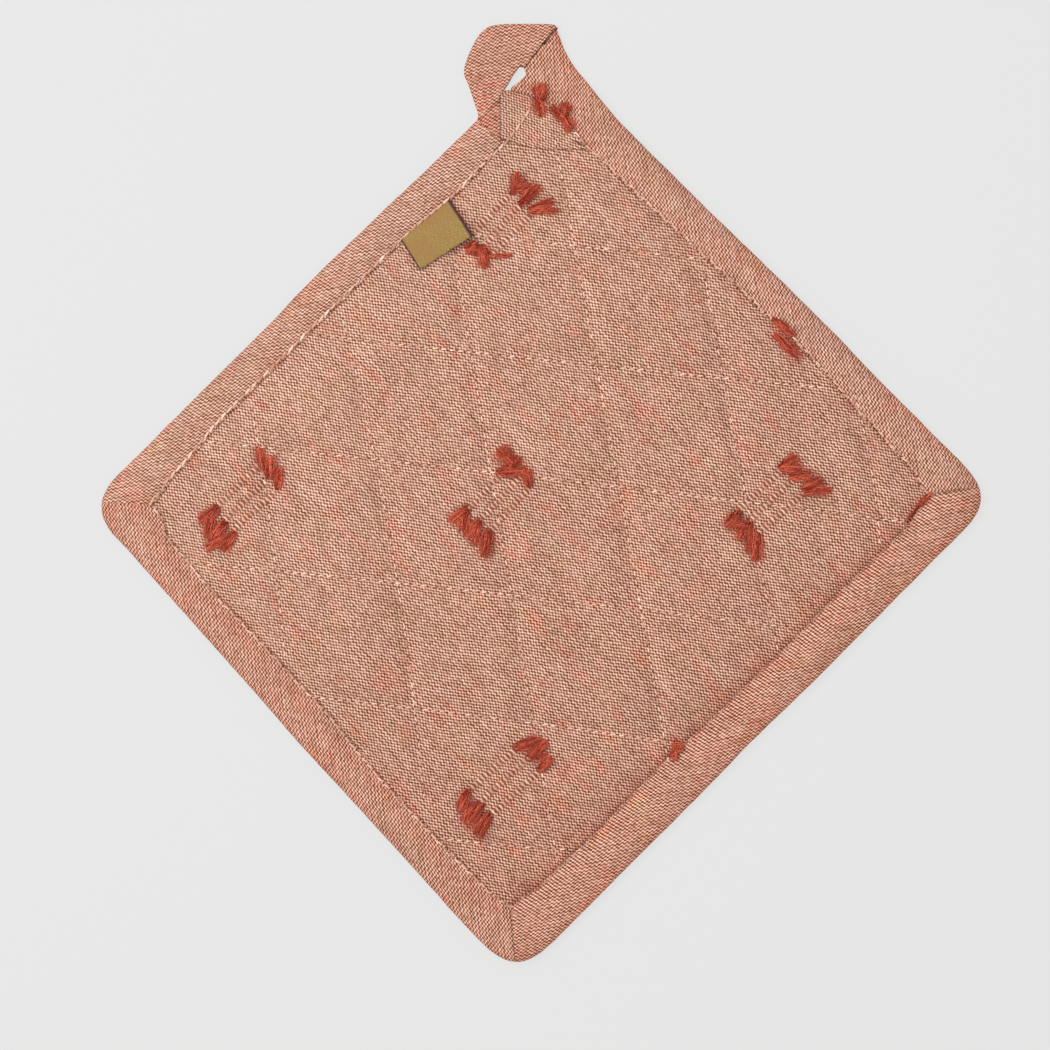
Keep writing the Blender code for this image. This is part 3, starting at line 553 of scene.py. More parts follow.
def chambray_material():
    """Plain weave of cream and rust threads over a map of thread numbers: light floats linked in
    zigzag rows, with a dark gap between each pair of cream threads and the next."""
    g = Graph("chambray_cloth")
    uv = g.weave()
    u_raw, v_raw, _ = g.separate(uv)
    redness, lightness, ribbed = g.tone()

    # the threads stray slowly over the cloth, and jog a little from one to the next
    drift, jog = (g.separate(g.noise(uv, scale, 1.0)["Color"]) for scale in (0.020, 0.30))
    u, v = (g.add(raw, g.add(g.times(drift[i], STRAY), g.times(jog[i], JOG)))
            for i, raw in enumerate((u_raw, v_raw)))
    cell_u, cell_v = g.math("FLOOR", u), g.math("FLOOR", v)
    pair_number = g.math("ROUND", g.times(u, 0.5))

    def per_thread(number, along, seed):
        return g.stretched(number, along, 3.7, 0.07, seed)

    # the height of the weave, from its floats, gaps, ribs and the unevenness of its yarn
    turn_u, turn_v = g.times(u, math.pi), g.times(v, math.pi)
    check = g.times(g.math("SINE", turn_u), g.math("SINE", turn_v))
    check = g.times(check, g.minus(1.0, g.times(ribbed, 0.35)))
    gap_width = g.add(g.ramp(per_thread(pair_number, v_raw, 2.0), 0.30, 0.70, -0.08, 0.15),
                      g.ramp(g.noise(uv, 0.13)[0], 0.35, 0.65, 0.10, 0.18))
    gap_width = g.times(gap_width, g.minus(1.0, g.times(ribbed, 0.45)))
    gap = g.times(g.math("COSINE", turn_u), gap_width)
    ribs = g.times(g.math("COSINE", g.add(turn_u, turn_v)), g.times(ribbed, RIB))
    slant = g.minus(g.times(g.math("COSINE", g.minus(turn_u, turn_v)), SLANT), ribs)
    each = g.minus(g.node("TexWhiteNoise", {"Vector": g.combine(cell_u, cell_v, 3.0)},
                          noise_dimensions="3D")["Value"], 0.5)
    streak = g.add(g.times(g.minus(per_thread(cell_u, v_raw, 0.0), 0.5), 0.52),
                   g.times(g.minus(per_thread(cell_v, u_raw, 9.0), 0.5), 0.22))
    height = g.add(g.minus(g.times(check, FLOAT), gap), slant)
    height = g.add(height, g.add(g.times(each, UNEVEN), streak))

    # the light falls a little harder towards the lower right
    place = g.separate(g.place())
    contrast = g.ramp(g.minus(place[0], place[1]), -0.10, 0.14, 0.98, 1.16)
    light = g.math("POWER", g.ramp(g.times(height, contrast), -0.95, 0.98), 1.35)
    colour = g.combine(*(g.blend(g.math("POWER", light, slowness), dark, bright)
                         for dark, bright, slowness in CLOTH_CHANNELS))
    for scale_u, scale_v, seed, low, high, tint in (
            (0.10, 0.05, 1.0, 0.50, 0.74, (1.10, 0.82, 0.77)),       # pinker
            (0.08, 0.06, 6.0, 0.48, 0.70, (0.98, 1.025, 0.94))):     # sandier
        patches = g.stretched(u_raw, v_raw, scale_u, scale_v, seed, 3.0, 0.6)
        colour = g.tinted(colour, tint, g.ramp(patches, low, high))
    # the tone's light carries the painted light and shade set on each piece's points; its redness
    # is partly painted shade
    shade = g.times(g.ramp(g.noise(uv, 0.035, 3.0)[0], 0.3, 0.7, 0.96, 1.04),
                    g.add(0.5, lightness))
    colour = g.tinted(colour, g.combine(shade, shade, shade))
    colour = g.tinted(colour, (1.12, 0.72, 0.62), g.times(g.minus(redness, 0.5), 2.0))
    specks = g.stretched(u_raw, v_raw, 0.55, 0.40, 4.0, 1.0)
    colour = g.mix(g.ramp(specks, 0.80, 0.84), colour, (0.10, 0.03, 0.02))
    fibres = g.noise(uv, 3.5)[0]
    g.bump(g.add(height, g.times(fibres, FIBRE)), 0.00008, 0.5)
    return g.surface(colour, 0.92, sheen=0.03, specular=0.06)


def thread_material(name, low, high, grain=2.2):
    """A spun thread: its shade varies along it and from thread to thread."""
    g = Graph(name)
    vivid, bright, _ = g.tone()
    fibre = g.noise(g.place(), 1000.0 * grain, 3.0)[0]
    share = g.add(g.times(fibre, 0.5), g.times(vivid, 0.6))
    colour = g.mix(g.ramp(share, 0.25, 0.85), low, high)
    # the tone's second channel sets each thread's lightness: random, and painted shade on the sunk
    # threads, the stitch holes and the sides in shade; darker is redder
    shade = g.times(bright, 1.2)
    colour = g.tinted(colour, g.combine(g.math("POWER", shade, 0.7), shade, shade))
    g.bump(fibre, 0.0001, 0.6)
    return g.surface(colour, 0.88, sheen=0.04, specular=0.08)


def label_material():
    """Satin ribbon in olive gold with dark woven edges."""
    g = Graph("label_ribbon")
    uv = g.weave()
    u_mm, v_mm, _ = g.separate(uv)
    grain = g.stretched(u_mm, v_mm, 1.4, 7.0)
    speck = g.noise(uv, 4.5)[0]
    brown = g.noise(g.combine(u_mm, v_mm, 3.0), 0.16)[0]
    face = g.mix(g.ramp(grain, 0.3, 0.7), (0.19, 0.112, 0.022), (0.51, 0.320, 0.087))
    face = g.mix(g.ramp(speck, 0.35, 0.75, 0.0, 0.6), face, (0.21, 0.13, 0.038))
    face = g.mix(g.ramp(brown, 0.40, 0.65, 0.0, 0.55), face, (0.34, 0.155, 0.045))
    ragged = g.add(u_mm, g.times(g.minus(g.noise(uv, 1.1)[0], 0.5), 0.7))
    edges = g.math("MAXIMUM", g.ramp(ragged, 0.30, 0.75, 1.0, 0.0), g.ramp(ragged, 20.1, 20.7))
    ribs = g.math("SINE", g.times(v_mm, 14.0))
    g.bump(g.add(g.times(grain, 0.6), g.times(ribs, 0.4)), 0.00008, 0.7)
    return g.surface(g.mix(edges, face, (0.075, 0.022, 0.020)), 0.62, sheen=0.1, specular=0.35)


chambray = chambray_material()
sewing_thread = thread_material("sewing_thread", (0.56, 0.29, 0.20), (0.92, 0.63, 0.49))
raised_thread = thread_material("raised_thread", (0.66, 0.34, 0.22), (0.94, 0.64, 0.48))
tuft_yarn = thread_material("tuft_yarn", (0.21, 0.009, 0.004), (0.85, 0.178, 0.100), 1.6)
label_ribbon = label_material()


# ---------------------------------------------------------------- quilted panel


def seam_distance(spot, seam, down):
    """Distance from a point to a quilting seam, which runs down the pad or across it."""
    x, y = spot
    x0, y0, x1, y1, bow = seam
    if down:
        x, y, x0, y0, x1, y1, bow = y, x, y0, x0, y1, x1, -bow
    t = (x - x0) / (x1 - x0)
    lean = math.hypot(x1 - x0, y1 - y0) / abs(x1 - x0)
    bowed = math.copysign(1.0, x1 - x0) * bow * lean * 4.0 * t * (1.0 - t)
    return abs(y - (y0 + (y1 - y0) * t + bowed)) / lean


def seam_distances(spot):
    return ([seam_distance(spot, seam, False) for seam in ACROSS_SEAMS]
            + [seam_distance(spot, seam, True) for seam in DOWN_SEAMS])


def drawn_in(distances, reach):
    """How far the nearest seams draw the cloth in, from 0 to 1."""
    left = 1.0
    for distance in distances:
        if distance < 3.0 * reach:
            left *= 1.0 - bell(distance, reach)
    return 1.0 - left


def side_depths(spot):
    """Distance from a point inwards to the inner edge of each side's binding."""
    return [side.inset_of(spot) - side.width(side.place_of(spot)) for side in sides]


def depth_inside(spot):
    """Distance from a point to the binding's inner edge, positive on the open pad."""
    depths = side_depths(spot)
    nearest, second = sorted(depths)[:2]
    if second >= INNER_BEND:
        return nearest
    corner = ((INNER_BEND - nearest) ** INNER_SQUARENESS
              + max(0.0, INNER_BEND - second) ** INNER_SQUARENESS)
    return INNER_BEND - corner ** (1.0 / INNER_SQUARENESS)


def ladder_nearness(spot):
    """How close a point is to a row of raised threads, from 0 to 1."""
    nearest = 99.0
    for x0, y0, x1, y1 in LADDER_ROWS:
        if abs(spot.x - 0.5 * (x0 + x1)) > 12.0 or abs(spot.y - 0.5 * (y0 + y1)) > 12.0:
            continue
        start, end = Vector((x0, y0)), Vector((x1, y1))
        length = (end - start).length
        along = (end - start) / length
        place = min(max((spot - start).dot(along), 0.0), length)
        nearest = min(nearest, (spot - start - along * place).length)
    return bell(nearest, 1.3)


def panel_heights(spot, inside, distances, ladder):
    """Heights of the pad's underside and top at a point."""
    top_edge = TOP_EDGE + TOP_EDGE_SLOPE * max(0.0, TOP_EDGE_BEND - spot.x) - spot.y
    rise = math.sin(0.5 * math.pi * min(max((inside - RIM_FLAT) / RIM_RISE, 0.0), 1.0))
    crown = CROWN * max(0.0, 1.0 - (spot.length / HALF_SPAN) ** 2)
    full = PUFF_HEIGHT + crown - CHANNEL_DEPTH * drawn_in(distances, CHANNEL_REACH)
    rise *= TOP_EDGE_RISE + (1.0 - TOP_EDGE_RISE) * smooth_step(top_edge / RIM_RISE)
    top = RIM_TOP + (full - RIM_TOP) * rise
    settle = smooth_step((inside - RIM_FLAT) / UNDER_SETTLE)
    bottom = RIM_BOTTOM * (1.0 - settle) + UNDER_DEPTH * drawn_in(distances, UNDER_REACH) * settle

    open_cloth = smooth_step((inside - 2.0) / 6.0) * smooth_step((top_edge - 1.0) / 4.0)
    groove = GROOVE_DEPTH * drawn_in(distances, GROOVE_REACH)
    ripple = 0.16 * drawn_in(distances, NEAR_SEAM) * wander(spot.x, spot.y, 3.4, 5.0)
    across, along = spot.dot(ALONG_RUST), spot.dot(ALONG_CREAM)
    rumple = 0.20 * wander(across, along * 0.45, 9.0, 2.0) + 0.05 * wander(across, along, 4.0, 8.0)
    top += open_cloth * (rumple + ripple - groove - LADDER_SINK * ladder)
    top += ROLL * smooth_step((inside - 0.1) / 0.9) * (1.0 - smooth_step((inside - 1.0) / 9.0))
    return bottom, top


def panel_tone(spot, inside, distances, ladder):
    """Redness and light of the pad's cloth at a point. The weave has no ribs here."""
    depths = side_depths(spot)
    edge_light, edge_redness, reach, line = PAD_EDGE_TONES[depths.index(min(depths))]
    # painted light and shade beside the binding: a little lighter on most sides, darker by the
    # lower right one
    beside = bell(max(inside, 0.0), reach)
    lower_right = smooth_step(0.5 + 0.5 * (spot.x - spot.y) / HALF_SPAN)
    # redder around the raised threads, beside the binding and towards the lower right and the
    # bottom, partly as painted shade
    redness = 0.5 + 0.22 * ladder + edge_redness * beside + 0.06 * lower_right
    redness += 0.05 * smooth_step((-70.0 - spot.y) / 50.0)
    # painted shade: darker in the rows of raised threads and towards the lower right and the
    # bottom; a little lighter near the seams
    light = 0.5 - 0.10 * ladder + edge_light * beside + 0.018 * drawn_in(distances, NEAR_SEAM)
    light -= 0.05 * smooth_step((-10.0 - spot.y) / 110.0) + 0.025 * lower_right
    # painted shadow: a dark line on the pad right at the binding's edge
    light -= line * bell(max(inside, 0.0), 1.0)
    return min(redness, 1.0), light, 0.0


def cut_sheet(bm, point, keep_side):
    """Cut a flat sheet along a line and drop what is on the far side of it."""
    bmesh.ops.bisect_plane(
        bm, geom=bm.verts[:] + bm.edges[:] + bm.faces[:], dist=1e-4,
        plane_co=Vector((*point, 0.0)), plane_no=Vector((*-keep_side, 0.0)), clear_outer=True)


def flat_panel():
    """The pad's outline filled with a fine square grid."""
    bm = bmesh.new()
    top, left, bottom, right = (crossing(sides[i - 1], RIM_INSET, sides[i], RIM_INSET)
                                for i in range(4))
    count = round((left - top).length / GRID_STEP)
    grid = []
    for row in range(count + 1):
        start, end = top.lerp(right, row / count), left.lerp(bottom, row / count)
        grid.append([bm.verts.new((*start.lerp(end, i / count), 0.0)) for i in range(count + 1)])
    for upper, lower in zip(grid, grid[1:]):
        for i in range(count):
            bm.faces.new((upper[i], upper[i + 1], lower[i + 1], lower[i]))
    for name in ("left", "bottom", "right"):
        corner = Vector(CORNERS[name])
        inward = -corner.normalized()
        cut_sheet(bm, corner + inward * CORNER_CUT, inward)
    cut_sheet(bm, Vector((0.0, TOP_EDGE + TUCKED)), Vector((0.0, -1.0)))
    for vert in bm.verts:
        share = min(1.0, max(0.0, 1.0 - (TOP_EDGE - vert.co.y) / GRID_FADE))
        stretch = share * TOP_EDGE_SLOPE * max(0.0, TOP_EDGE_BEND - vert.co.x)
        vert.co.xy -= sides[0].along * stretch
    bmesh.ops.remove_doubles(bm, verts=bm.verts, dist=0.12)
    bm.verts.index_update()
    return bm


def make_panel():
    bm = flat_panel()
    sheet = Sheet()
    lower, upper = [], []
    for vert in bm.verts:
        spot = vert.co.xy
        found = spot, depth_inside(spot), seam_distances(spot), ladder_nearness(spot)
        tone = panel_tone(*found)
        for side, height in zip((lower, upper), panel_heights(*found)):
            side.append((sheet.point((spot.x, spot.y, height), tone), pad_weave(spot)))
    for face in bm.faces:
        corners = [vert.index for vert in face.verts]
        sheet.face([upper[i] for i in corners])
        sheet.face([lower[i] for i in reversed(corners)])
    for edge in bm.edges:
        if edge.is_boundary:
            a, b = (vert.index for vert in edge.verts)
            sheet.face((lower[a], lower[b], upper[b], upper[a]))
    bm.free()
    piece = sheet.finish("quilted_cloth", chambray)
    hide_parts("quilted_panel")
    return piece


# ---------------------------------------------------------------- binding


def rounded(points, steps):
    """A smooth curve through a row of points, given as tuples of numbers."""
    curve = []
    last = len(points) - 1
    for i in range(last):
        a, b = points[max(i - 1, 0)], points[i]
        c, d = points[i + 1], points[min(i + 2, last)]
        for step in range(steps):
            t = step / steps
            curve.append(tuple(
                0.5 * (2 * q + (r - p) * t + (2 * p - 5 * q + 4 * r - s) * t * t
                       + (3 * q - p - 3 * r + s) * t ** 3)
                for p, q, r, s in zip(a, b, c, d)))
    curve.append(points[-1])
    return curve


def strip_profile(width, crest, dip, flap, bottom, under_flap, pocket):
    """The folded strip's section: the outside from its inner edge round to its underside, then
    the inside of the pocket. Each point has its distance from the outer edge, its height, how far
    along the cloth it is, and whether it is on the outside."""
    tall = crest - bottom
    outside = [(width, 0.5 * (under_flap + flap))]
    outside += rounded((
        (width - 0.02, flap - 0.15),
        (width - 0.35, flap + 0.05),
        (width - 0.85, dip),
        (width - 1.9, dip + 0.45 * (crest - dip)),
        (0.68 * width, crest - 0.024 * tall),
        (0.42 * width, crest),
        (0.20 * width, crest - 0.13 * tall),
        (0.05 * width, crest - 0.31 * tall),
        (0.0, bottom + 0.47 * tall),
        (0.06 * width, bottom + 0.16 * tall),
        (0.20 * width, bottom),
    ), 3)
    outside += [(0.6 * width, bottom), (width, bottom)]
    wall = bottom + HEM_THICKNESS
    turn = 0.25 * (under_flap - wall)
    inside = ((width, wall), (0.5 * width, wall), (pocket + 1.0, wall), (pocket, wall + turn),
              (pocket, under_flap - turn), (pocket + 1.0, under_flap), (0.5 * width, under_flap),
              (width - 0.1, under_flap))
    arcs = distances_along([Vector(point) for point in outside])
    return ([(*point, arc, True) for point, arc in zip(outside, arcs)]
            + [(*point, arcs[-1], False) for point in inside])


def fan_centre(index):
    """The point round which the corner before a side turns."""
    side, before = sides[index], sides[index - 1]
    return crossing(before, before.width(before.length) + INNER_BEND,
                    side, side.width(0.0) + INNER_BEND)


def fan_angles(mitre):
    """Angles round a corner, close together on both sides of its crease."""
    close = [mitre + away for away in (-0.07, -0.035, -0.0015, 0.0015, 0.035, 0.07)]
    even = [0.5 * math.pi * i / 22 for i in range(1, 22)]
    return sorted(close + [angle for angle in even if abs(angle - mitre) > 0.1])


def binding_stations():
    """Stations round the pad: outer point, inner point, side, and angle from a mitre's crease."""
    stations = []

    def straight(index, first, last):
        side = sides[index]
        count = round((last - first) / STATION_PITCH)
        for i in range(count + 1):
            place = first + (last - first) * i / count
            stations.append((side.point(place, side.drift(place)),
                             side.point(place, side.width(place)), index, None))

    def end_of(index):
        return sides[index].place_of(fan_centre(index + 1))

    def reach(angle, along, across, squareness):
        """How far a rounded corner reaches at an angle, from its reach along two sides."""
        return ((math.cos(angle) / along) ** squareness
                + (math.sin(angle) / across) ** squareness) ** (-1.0 / squareness)

    straight(0, BINDING_START, end_of(0))
    for index in (1, 2, 3):
        side, before = sides[index], sides[index - 1]
        before_reach = before.width(before.length) + INNER_BEND - before.drift(before.length)
        side_reach = side.width(0.0) + INNER_BEND - side.drift(0.0)
        centre = fan_centre(index)
        mitre = 0.5 * math.pi * MITRES[index][0]
        for angle in fan_angles(mitre):
            ray = -before.inward * math.cos(angle) - side.inward * math.sin(angle)
            outer = reach(angle, before_reach, side_reach, OUTER_SQUARENESS[index])
            inner = INNER_BEND * reach(angle, 1.0, 1.0, INNER_SQUARENESS)
            stations.append((centre + ray * outer, centre + ray * inner,
                             index - (angle < mitre), angle - mitre))
        last = end_of(index) if index < 3 else side.length - BINDING_END
        straight(index, side.place_of(centre), last)
    return stations


STATIONS = binding_stations()
OUTER_LENGTHS = distances_along([station[0] for station in STATIONS])


def strip_tone(index, travelled, away, width):
    """Redness, light and ribbing of the strip at a distance from its outer edge."""
    light, red, streak_light, streak_red, centre, reach, ribbed = STRIP_TONES[index]
    inward = width - away
    streak = bell(inward - centre, reach)
    rim = smooth_step(1.0 - 4.0 * away / width)
    patch = wander(travelled * 0.06, away * 0.30, 1.0, 40.0 + index)
    red += streak_red * streak + 0.10 * rim + 0.10 * patch
    # painted light and shade in the streak beside the sewn edge, and a random unevenness
    light += streak_light * streak - 0.03 * wander(travelled * 0.08, away * 0.35, 1.0, 50.0 + index)
    ribs = 0.15 + ribbed * (1.0 - smooth_step((inward - 3.0) / 4.0))
    return min(max(0.5 + red, 0.5), 1.0), 0.5 + light, ribs


def mitre_fold(reach, depth):
    """Height and light beside a mitre's crease, where the next side's cloth lies on the last's."""
    if reach > 0.0:
        return depth * (0.22 * bell(reach, 2.5) - 0.22 * bell(reach, 0.35)), 0.0
    # painted shadow on the lower cloth beside the crease
    return -depth * 0.36 * bell(reach, 1.5), -0.38 * min(depth, 1.0) * bell(reach, 0.60)


def make_binding():
    sheet = Sheet()
    rings = []
    corner = 0
    for travelled, (outer, inner, index, from_mitre) in zip(OUTER_LENGTHS, STATIONS):
        corner = max(corner, index if from_mitre is None or from_mitre > 0.0 else index + 1)
        width = (inner - outer).length
        towards = (inner - outer) / width
        free = smooth_step(min(travelled, OUTER_LENGTHS[-1] - travelled) / END_REACH)
        lift, sway = (free * (large * wander(travelled, 0.0, long, seed)
                              + small * wander(travelled, 0.0, short, seed + 3.0))
                      for large, long, small, short, seed in ((0.20, 7.0, 0.08, 2.6, 3.0),
                                                              (0.14, 9.0, 0.10, 2.8, 12.0)))
        lap = EDGE_LAP[index]
        if from_mitre is not None:
            turned = (from_mitre + 0.5 * math.pi * MITRES[corner][0]) / (0.5 * math.pi)
            lap = EDGE_LAP[corner - 1] + (EDGE_LAP[corner] - EDGE_LAP[corner - 1]) * turned
        lap = free * (lap + 0.22 * wander(travelled, 0.0, 3.2, 21.0))
        ring = []
        section = strip_profile(width, CREST + lift, STITCH_DIP, FLAP_TOP, 0.0, FLAP_UNDERSIDE,
                                POCKET_INSET)
        for number, (away, z, arc, outside) in enumerate(section):
            share = away / width
            spot = outer + towards * (away - sway * (1.0 - smooth_step(share / 0.6)) * (z > 0.0))
            if number < FLAP_POINTS:
                spot += towards * lap * smooth_step((FLAP_POINTS - number) / 4.0)
            red, light, ribs = strip_tone(index, travelled, away, width)
            red = min(1.0, red + 0.22 * bell((spot - Vector(RED_PATCH)).length, 4.0))
            # a painted shadow line at the strip's folded edge and a painted highlight on the fold
            # behind it
            if number < RIM_POINTS:
                dark, bright = STRIP_RIM_SHADOW_AND_HIGHLIGHT[index]
                light += dark * bell(width - away, 0.25) + bright * bell(width - away - 0.9, 0.5)
            # the mitre's crease: its rise, and a painted shadow beside it
            if outside and z > MID_EDGE and from_mitre is not None:
                fade = smooth_step(share * 3.0) * min(1.0, max(0.0, z - 4.4))
                fold = from_mitre * (width - away + INNER_BEND)
                rise, shade = mitre_fold(fold, MITRES[corner][1])
                z += rise * fade
                light += shade * fade
            ring.append((sheet.point((spot.x, spot.y, z), (red, light, ribs)), arc))
        rings.append((ring, outer, inner, index))

    def woven(ring, outer, inner, side):
        """A ring's corners, with their places in the weave of one side's cloth."""
        ray = (outer - inner).normalized()
        return [(point, strip_weave(side.place_of(inner) + ray.dot(side.along) * arc,
                                    side.inset_of(inner) + ray.dot(side.inward) * arc))
                for point, arc in ring]

    for (*ring, _), (*following, index) in zip(rings, rings[1:]):
        sheet.band(woven(*ring, sides[index]), woven(*following, sides[index]))
    for ring in (rings[0], rings[-1]):
        sheet.cap(ring[0])
    piece = sheet.finish("edge_binding", chambray)
    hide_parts("binding")
    return piece


# ---------------------------------------------------------------- hanging loop and corner fold


def turned_about(spot, pivot, degrees):
    angle = math.radians(degrees)
    away = spot - Vector(pivot)
    return Vector(pivot) + away * math.cos(angle) + to_left(away) * math.sin(angle)


def loop_rows():
    """The loop's sections on each side of its mitre, filled in smoothly. The first and the last
    come from the binding's ends, a hair's breadth off them."""
    (start, start_inner, _, _), (end, end_inner, _, _) = STATIONS[0], STATIONS[-1]
    on = sides[3].along * 0.03
    back = sides[0].along * -0.05
    first = (*(end + on), *(end_inner + on), *LOOP_SECTIONS[0][4:])
    last = (*(start + back), *(start_inner + back), *LOOP_SECTIONS[-1][4:])
    sections = (first, *LOOP_SECTIONS[1:-1], last)
    return rounded(sections[:MITRE_ROW], 10), rounded(sections[MITRE_ROW:], 10)


# Rings of the folded edge at the loop's mitre, from the lower cloth under the edge and up over it:
# distance towards the upper cloth for the top of the ring and for its underside, height, and light,
# which paints the shadow of the folded edge on the lower cloth.
FOLDED_EDGE = (
    (-0.95, -0.95, 2.60, -0.06), (-0.40, -0.40, 2.60, -0.24), (0.00, 0.00, 2.55, -0.38),
    (0.30, 0.04, 2.50, -0.42), (0.30, 0.08, 2.72, -0.38), (0.00, 0.12, 2.85, -0.24),
    (-0.14, 0.16, 3.10, -0.05), (-0.04, 0.20, 3.42, 0.02), (0.30, 0.30, 3.66, 0.03),
    (0.75, 0.75, 3.70, 0.01),
)
FOLDED_SPLIT = 5              # from this ring on, the folded edge belongs to the upper cloth


def loop_profile(width, bottom, top, joined):
    """The section of a strip folded double, as high as the binding where it is joined to it."""
    def between(own, binding):
        return own + (binding - own) * joined

    return strip_profile(
        width, top + between(0.1, 0.05), between(top - 0.1, STITCH_DIP),
        between(top - 0.15, FLAP_TOP), bottom, between(top - 0.75, FLAP_UNDERSIDE),
        between(0.8, POCKET_INSET))


def foot_depth(spot):
    """How far a point lies beyond the crease where the loop's left end is folded under."""
    (x0, y0), (x1, y1) = FOOT_CREASE
    length = math.hypot(x1 - x0, y1 - y0)
    return ((spot.y - y0) * (x1 - x0) - (spot.x - x0) * (y1 - y0)) / length


def loop_sections():
    """Everything the loop's rings are made from: part, section row, how far it is joined to the
    binding, distance along the loop, and a shift of the ring's top and underside, with its light,
    at the mitre."""
    def travelled(rows):
        middles = [0.5 * (Vector(row[0:2]) + Vector(row[2:4])) for row in rows]
        return zip(rows, distances_along(middles))

    right, left = loop_rows()
    found = [(0, row, 1.0 - smooth_step(distance / 14.0), distance, 0.0, 0.0, 0.0)
             for row, distance in travelled(right)]
    _, mitre, _, length, *_ = found.pop()
    # the folded edge's rings, with the painted shadow under the edge
    found += [(int(number >= FOLDED_SPLIT), (*mitre[:5], top), 0.0, length, above, below, light)
              for number, (above, below, top, light) in enumerate(FOLDED_EDGE)]
    found += [(1, row, 0.0, distance, 0.0, 0.0, 0.0)
              for row, distance in travelled(left[1:]) if distance > 0.5]
    return found


def loop_weave(part, spot, travelled):
    """Thread numbers on the loop, whose cloth turns a little with it."""
    side = sides[3] if part == 0 else sides[0]
    if part == 0:
        spot = turned_about(spot, (16.0, 118.0), 7.0 * smooth_step(travelled / 24.0))
    else:
        spot = turned_about(spot, (-10.0, 150.0), -5.0)
    return strip_weave(side.place_of(spot), side.inset_of(spot))


def make_loop():
    sheet = Sheet()
    rings = []
    for part, row, joined, travelled, above, below, dark in loop_sections():
        outer, inner = Vector(row[0:2]), Vector(row[2:4])
        bottom, top = row[4:]
        width = (inner - outer).length
        towards = (inner - outer) / width
        ahead = to_left(towards) * math.copysign(1.0, towards.y)
        ring = []
        for away, z, arc, outside in loop_profile(width, bottom, top, joined):
            on_top = outside and z > bottom + 0.4
            high = smooth_step(((z - bottom) / (top - bottom) - 0.45) / 0.3)
            spot = outer + towards * away + ahead * (below + (above - below) * high)
            index, place, redder = ((3, OUTER_LENGTHS[-1] + travelled, 0.08),
                                    (0, LOOP_LEFT_LENGTH - travelled, 0.10))[part]
            red, light, ribs = strip_tone(index, place, away, width)
            red += redder * (1.0 - joined)
            # painted shadow under the folded edge at the mitre
            light += dark - 0.03 * (1.0 - joined)
            if on_top:
                z += 0.12 * wander(spot.x, spot.y, 3.5, 4.0 + part) * (1.0 - joined)
                under = foot_depth(spot) if part == 1 and spot.y < FOOT_END else NOT_UNDER
                z += 0.12 * bell(under + 0.5, 0.5) - 0.30 * smooth_step(under / 0.4)
                # beyond the crease where the left end is folded under: painted shade, darker and
                # redder, with a painted shadow line just past the crease
                light -= 0.07 * smooth_step(under / 0.5) + 0.24 * bell(under - 0.35, 0.45)
                red += 0.16 * smooth_step(under / 0.5)
            flat = inner - towards * arc + ahead * above
            ring.append((sheet.point((spot.x, spot.y, z), (min(red, 1.0), light, ribs)),
                         [loop_weave(k, flat, travelled) for k in (0, 1)]))
        rings.append((part, ring))
    for (_, ring), (part, following) in zip(rings, rings[1:]):
        sheet.band(*([(point, weaves[part]) for point, weaves in row] for row in (ring, following)))
    for _, ring in (rings[0], rings[-1]):
        sheet.cap(ring)
    piece = sheet.finish("loop_strip", chambray)
    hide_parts("hanging_loop")
    return piece


def fold_outline():
    """Round the corner fold: its sewn lower edge, then close along the loop's inner edges."""
    right, left = ([Vector(row[2:4]) for row in rows] for rows in loop_rows())
    right = [spot for spot in right if spot.x > FOLD_RIGHT_END]
    left = [spot for spot in left if FOLD_LEFT_ENDS[0] < spot.y < FOLD_LEFT_ENDS[1]]
    lower, upper = ([Vector(spot) for spot in edge] for edge in (FOLD_LOWER, FOLD_UPPER))
    rough = [left.pop(), *lower, *right, *upper, *left]
    dense = []
    for a, b in zip(rough, rough[1:] + rough[:1]):
        steps = max(1, round((b - a).length))
        dense += [a.lerp(b, i / steps) for i in range(steps)]
    return dense


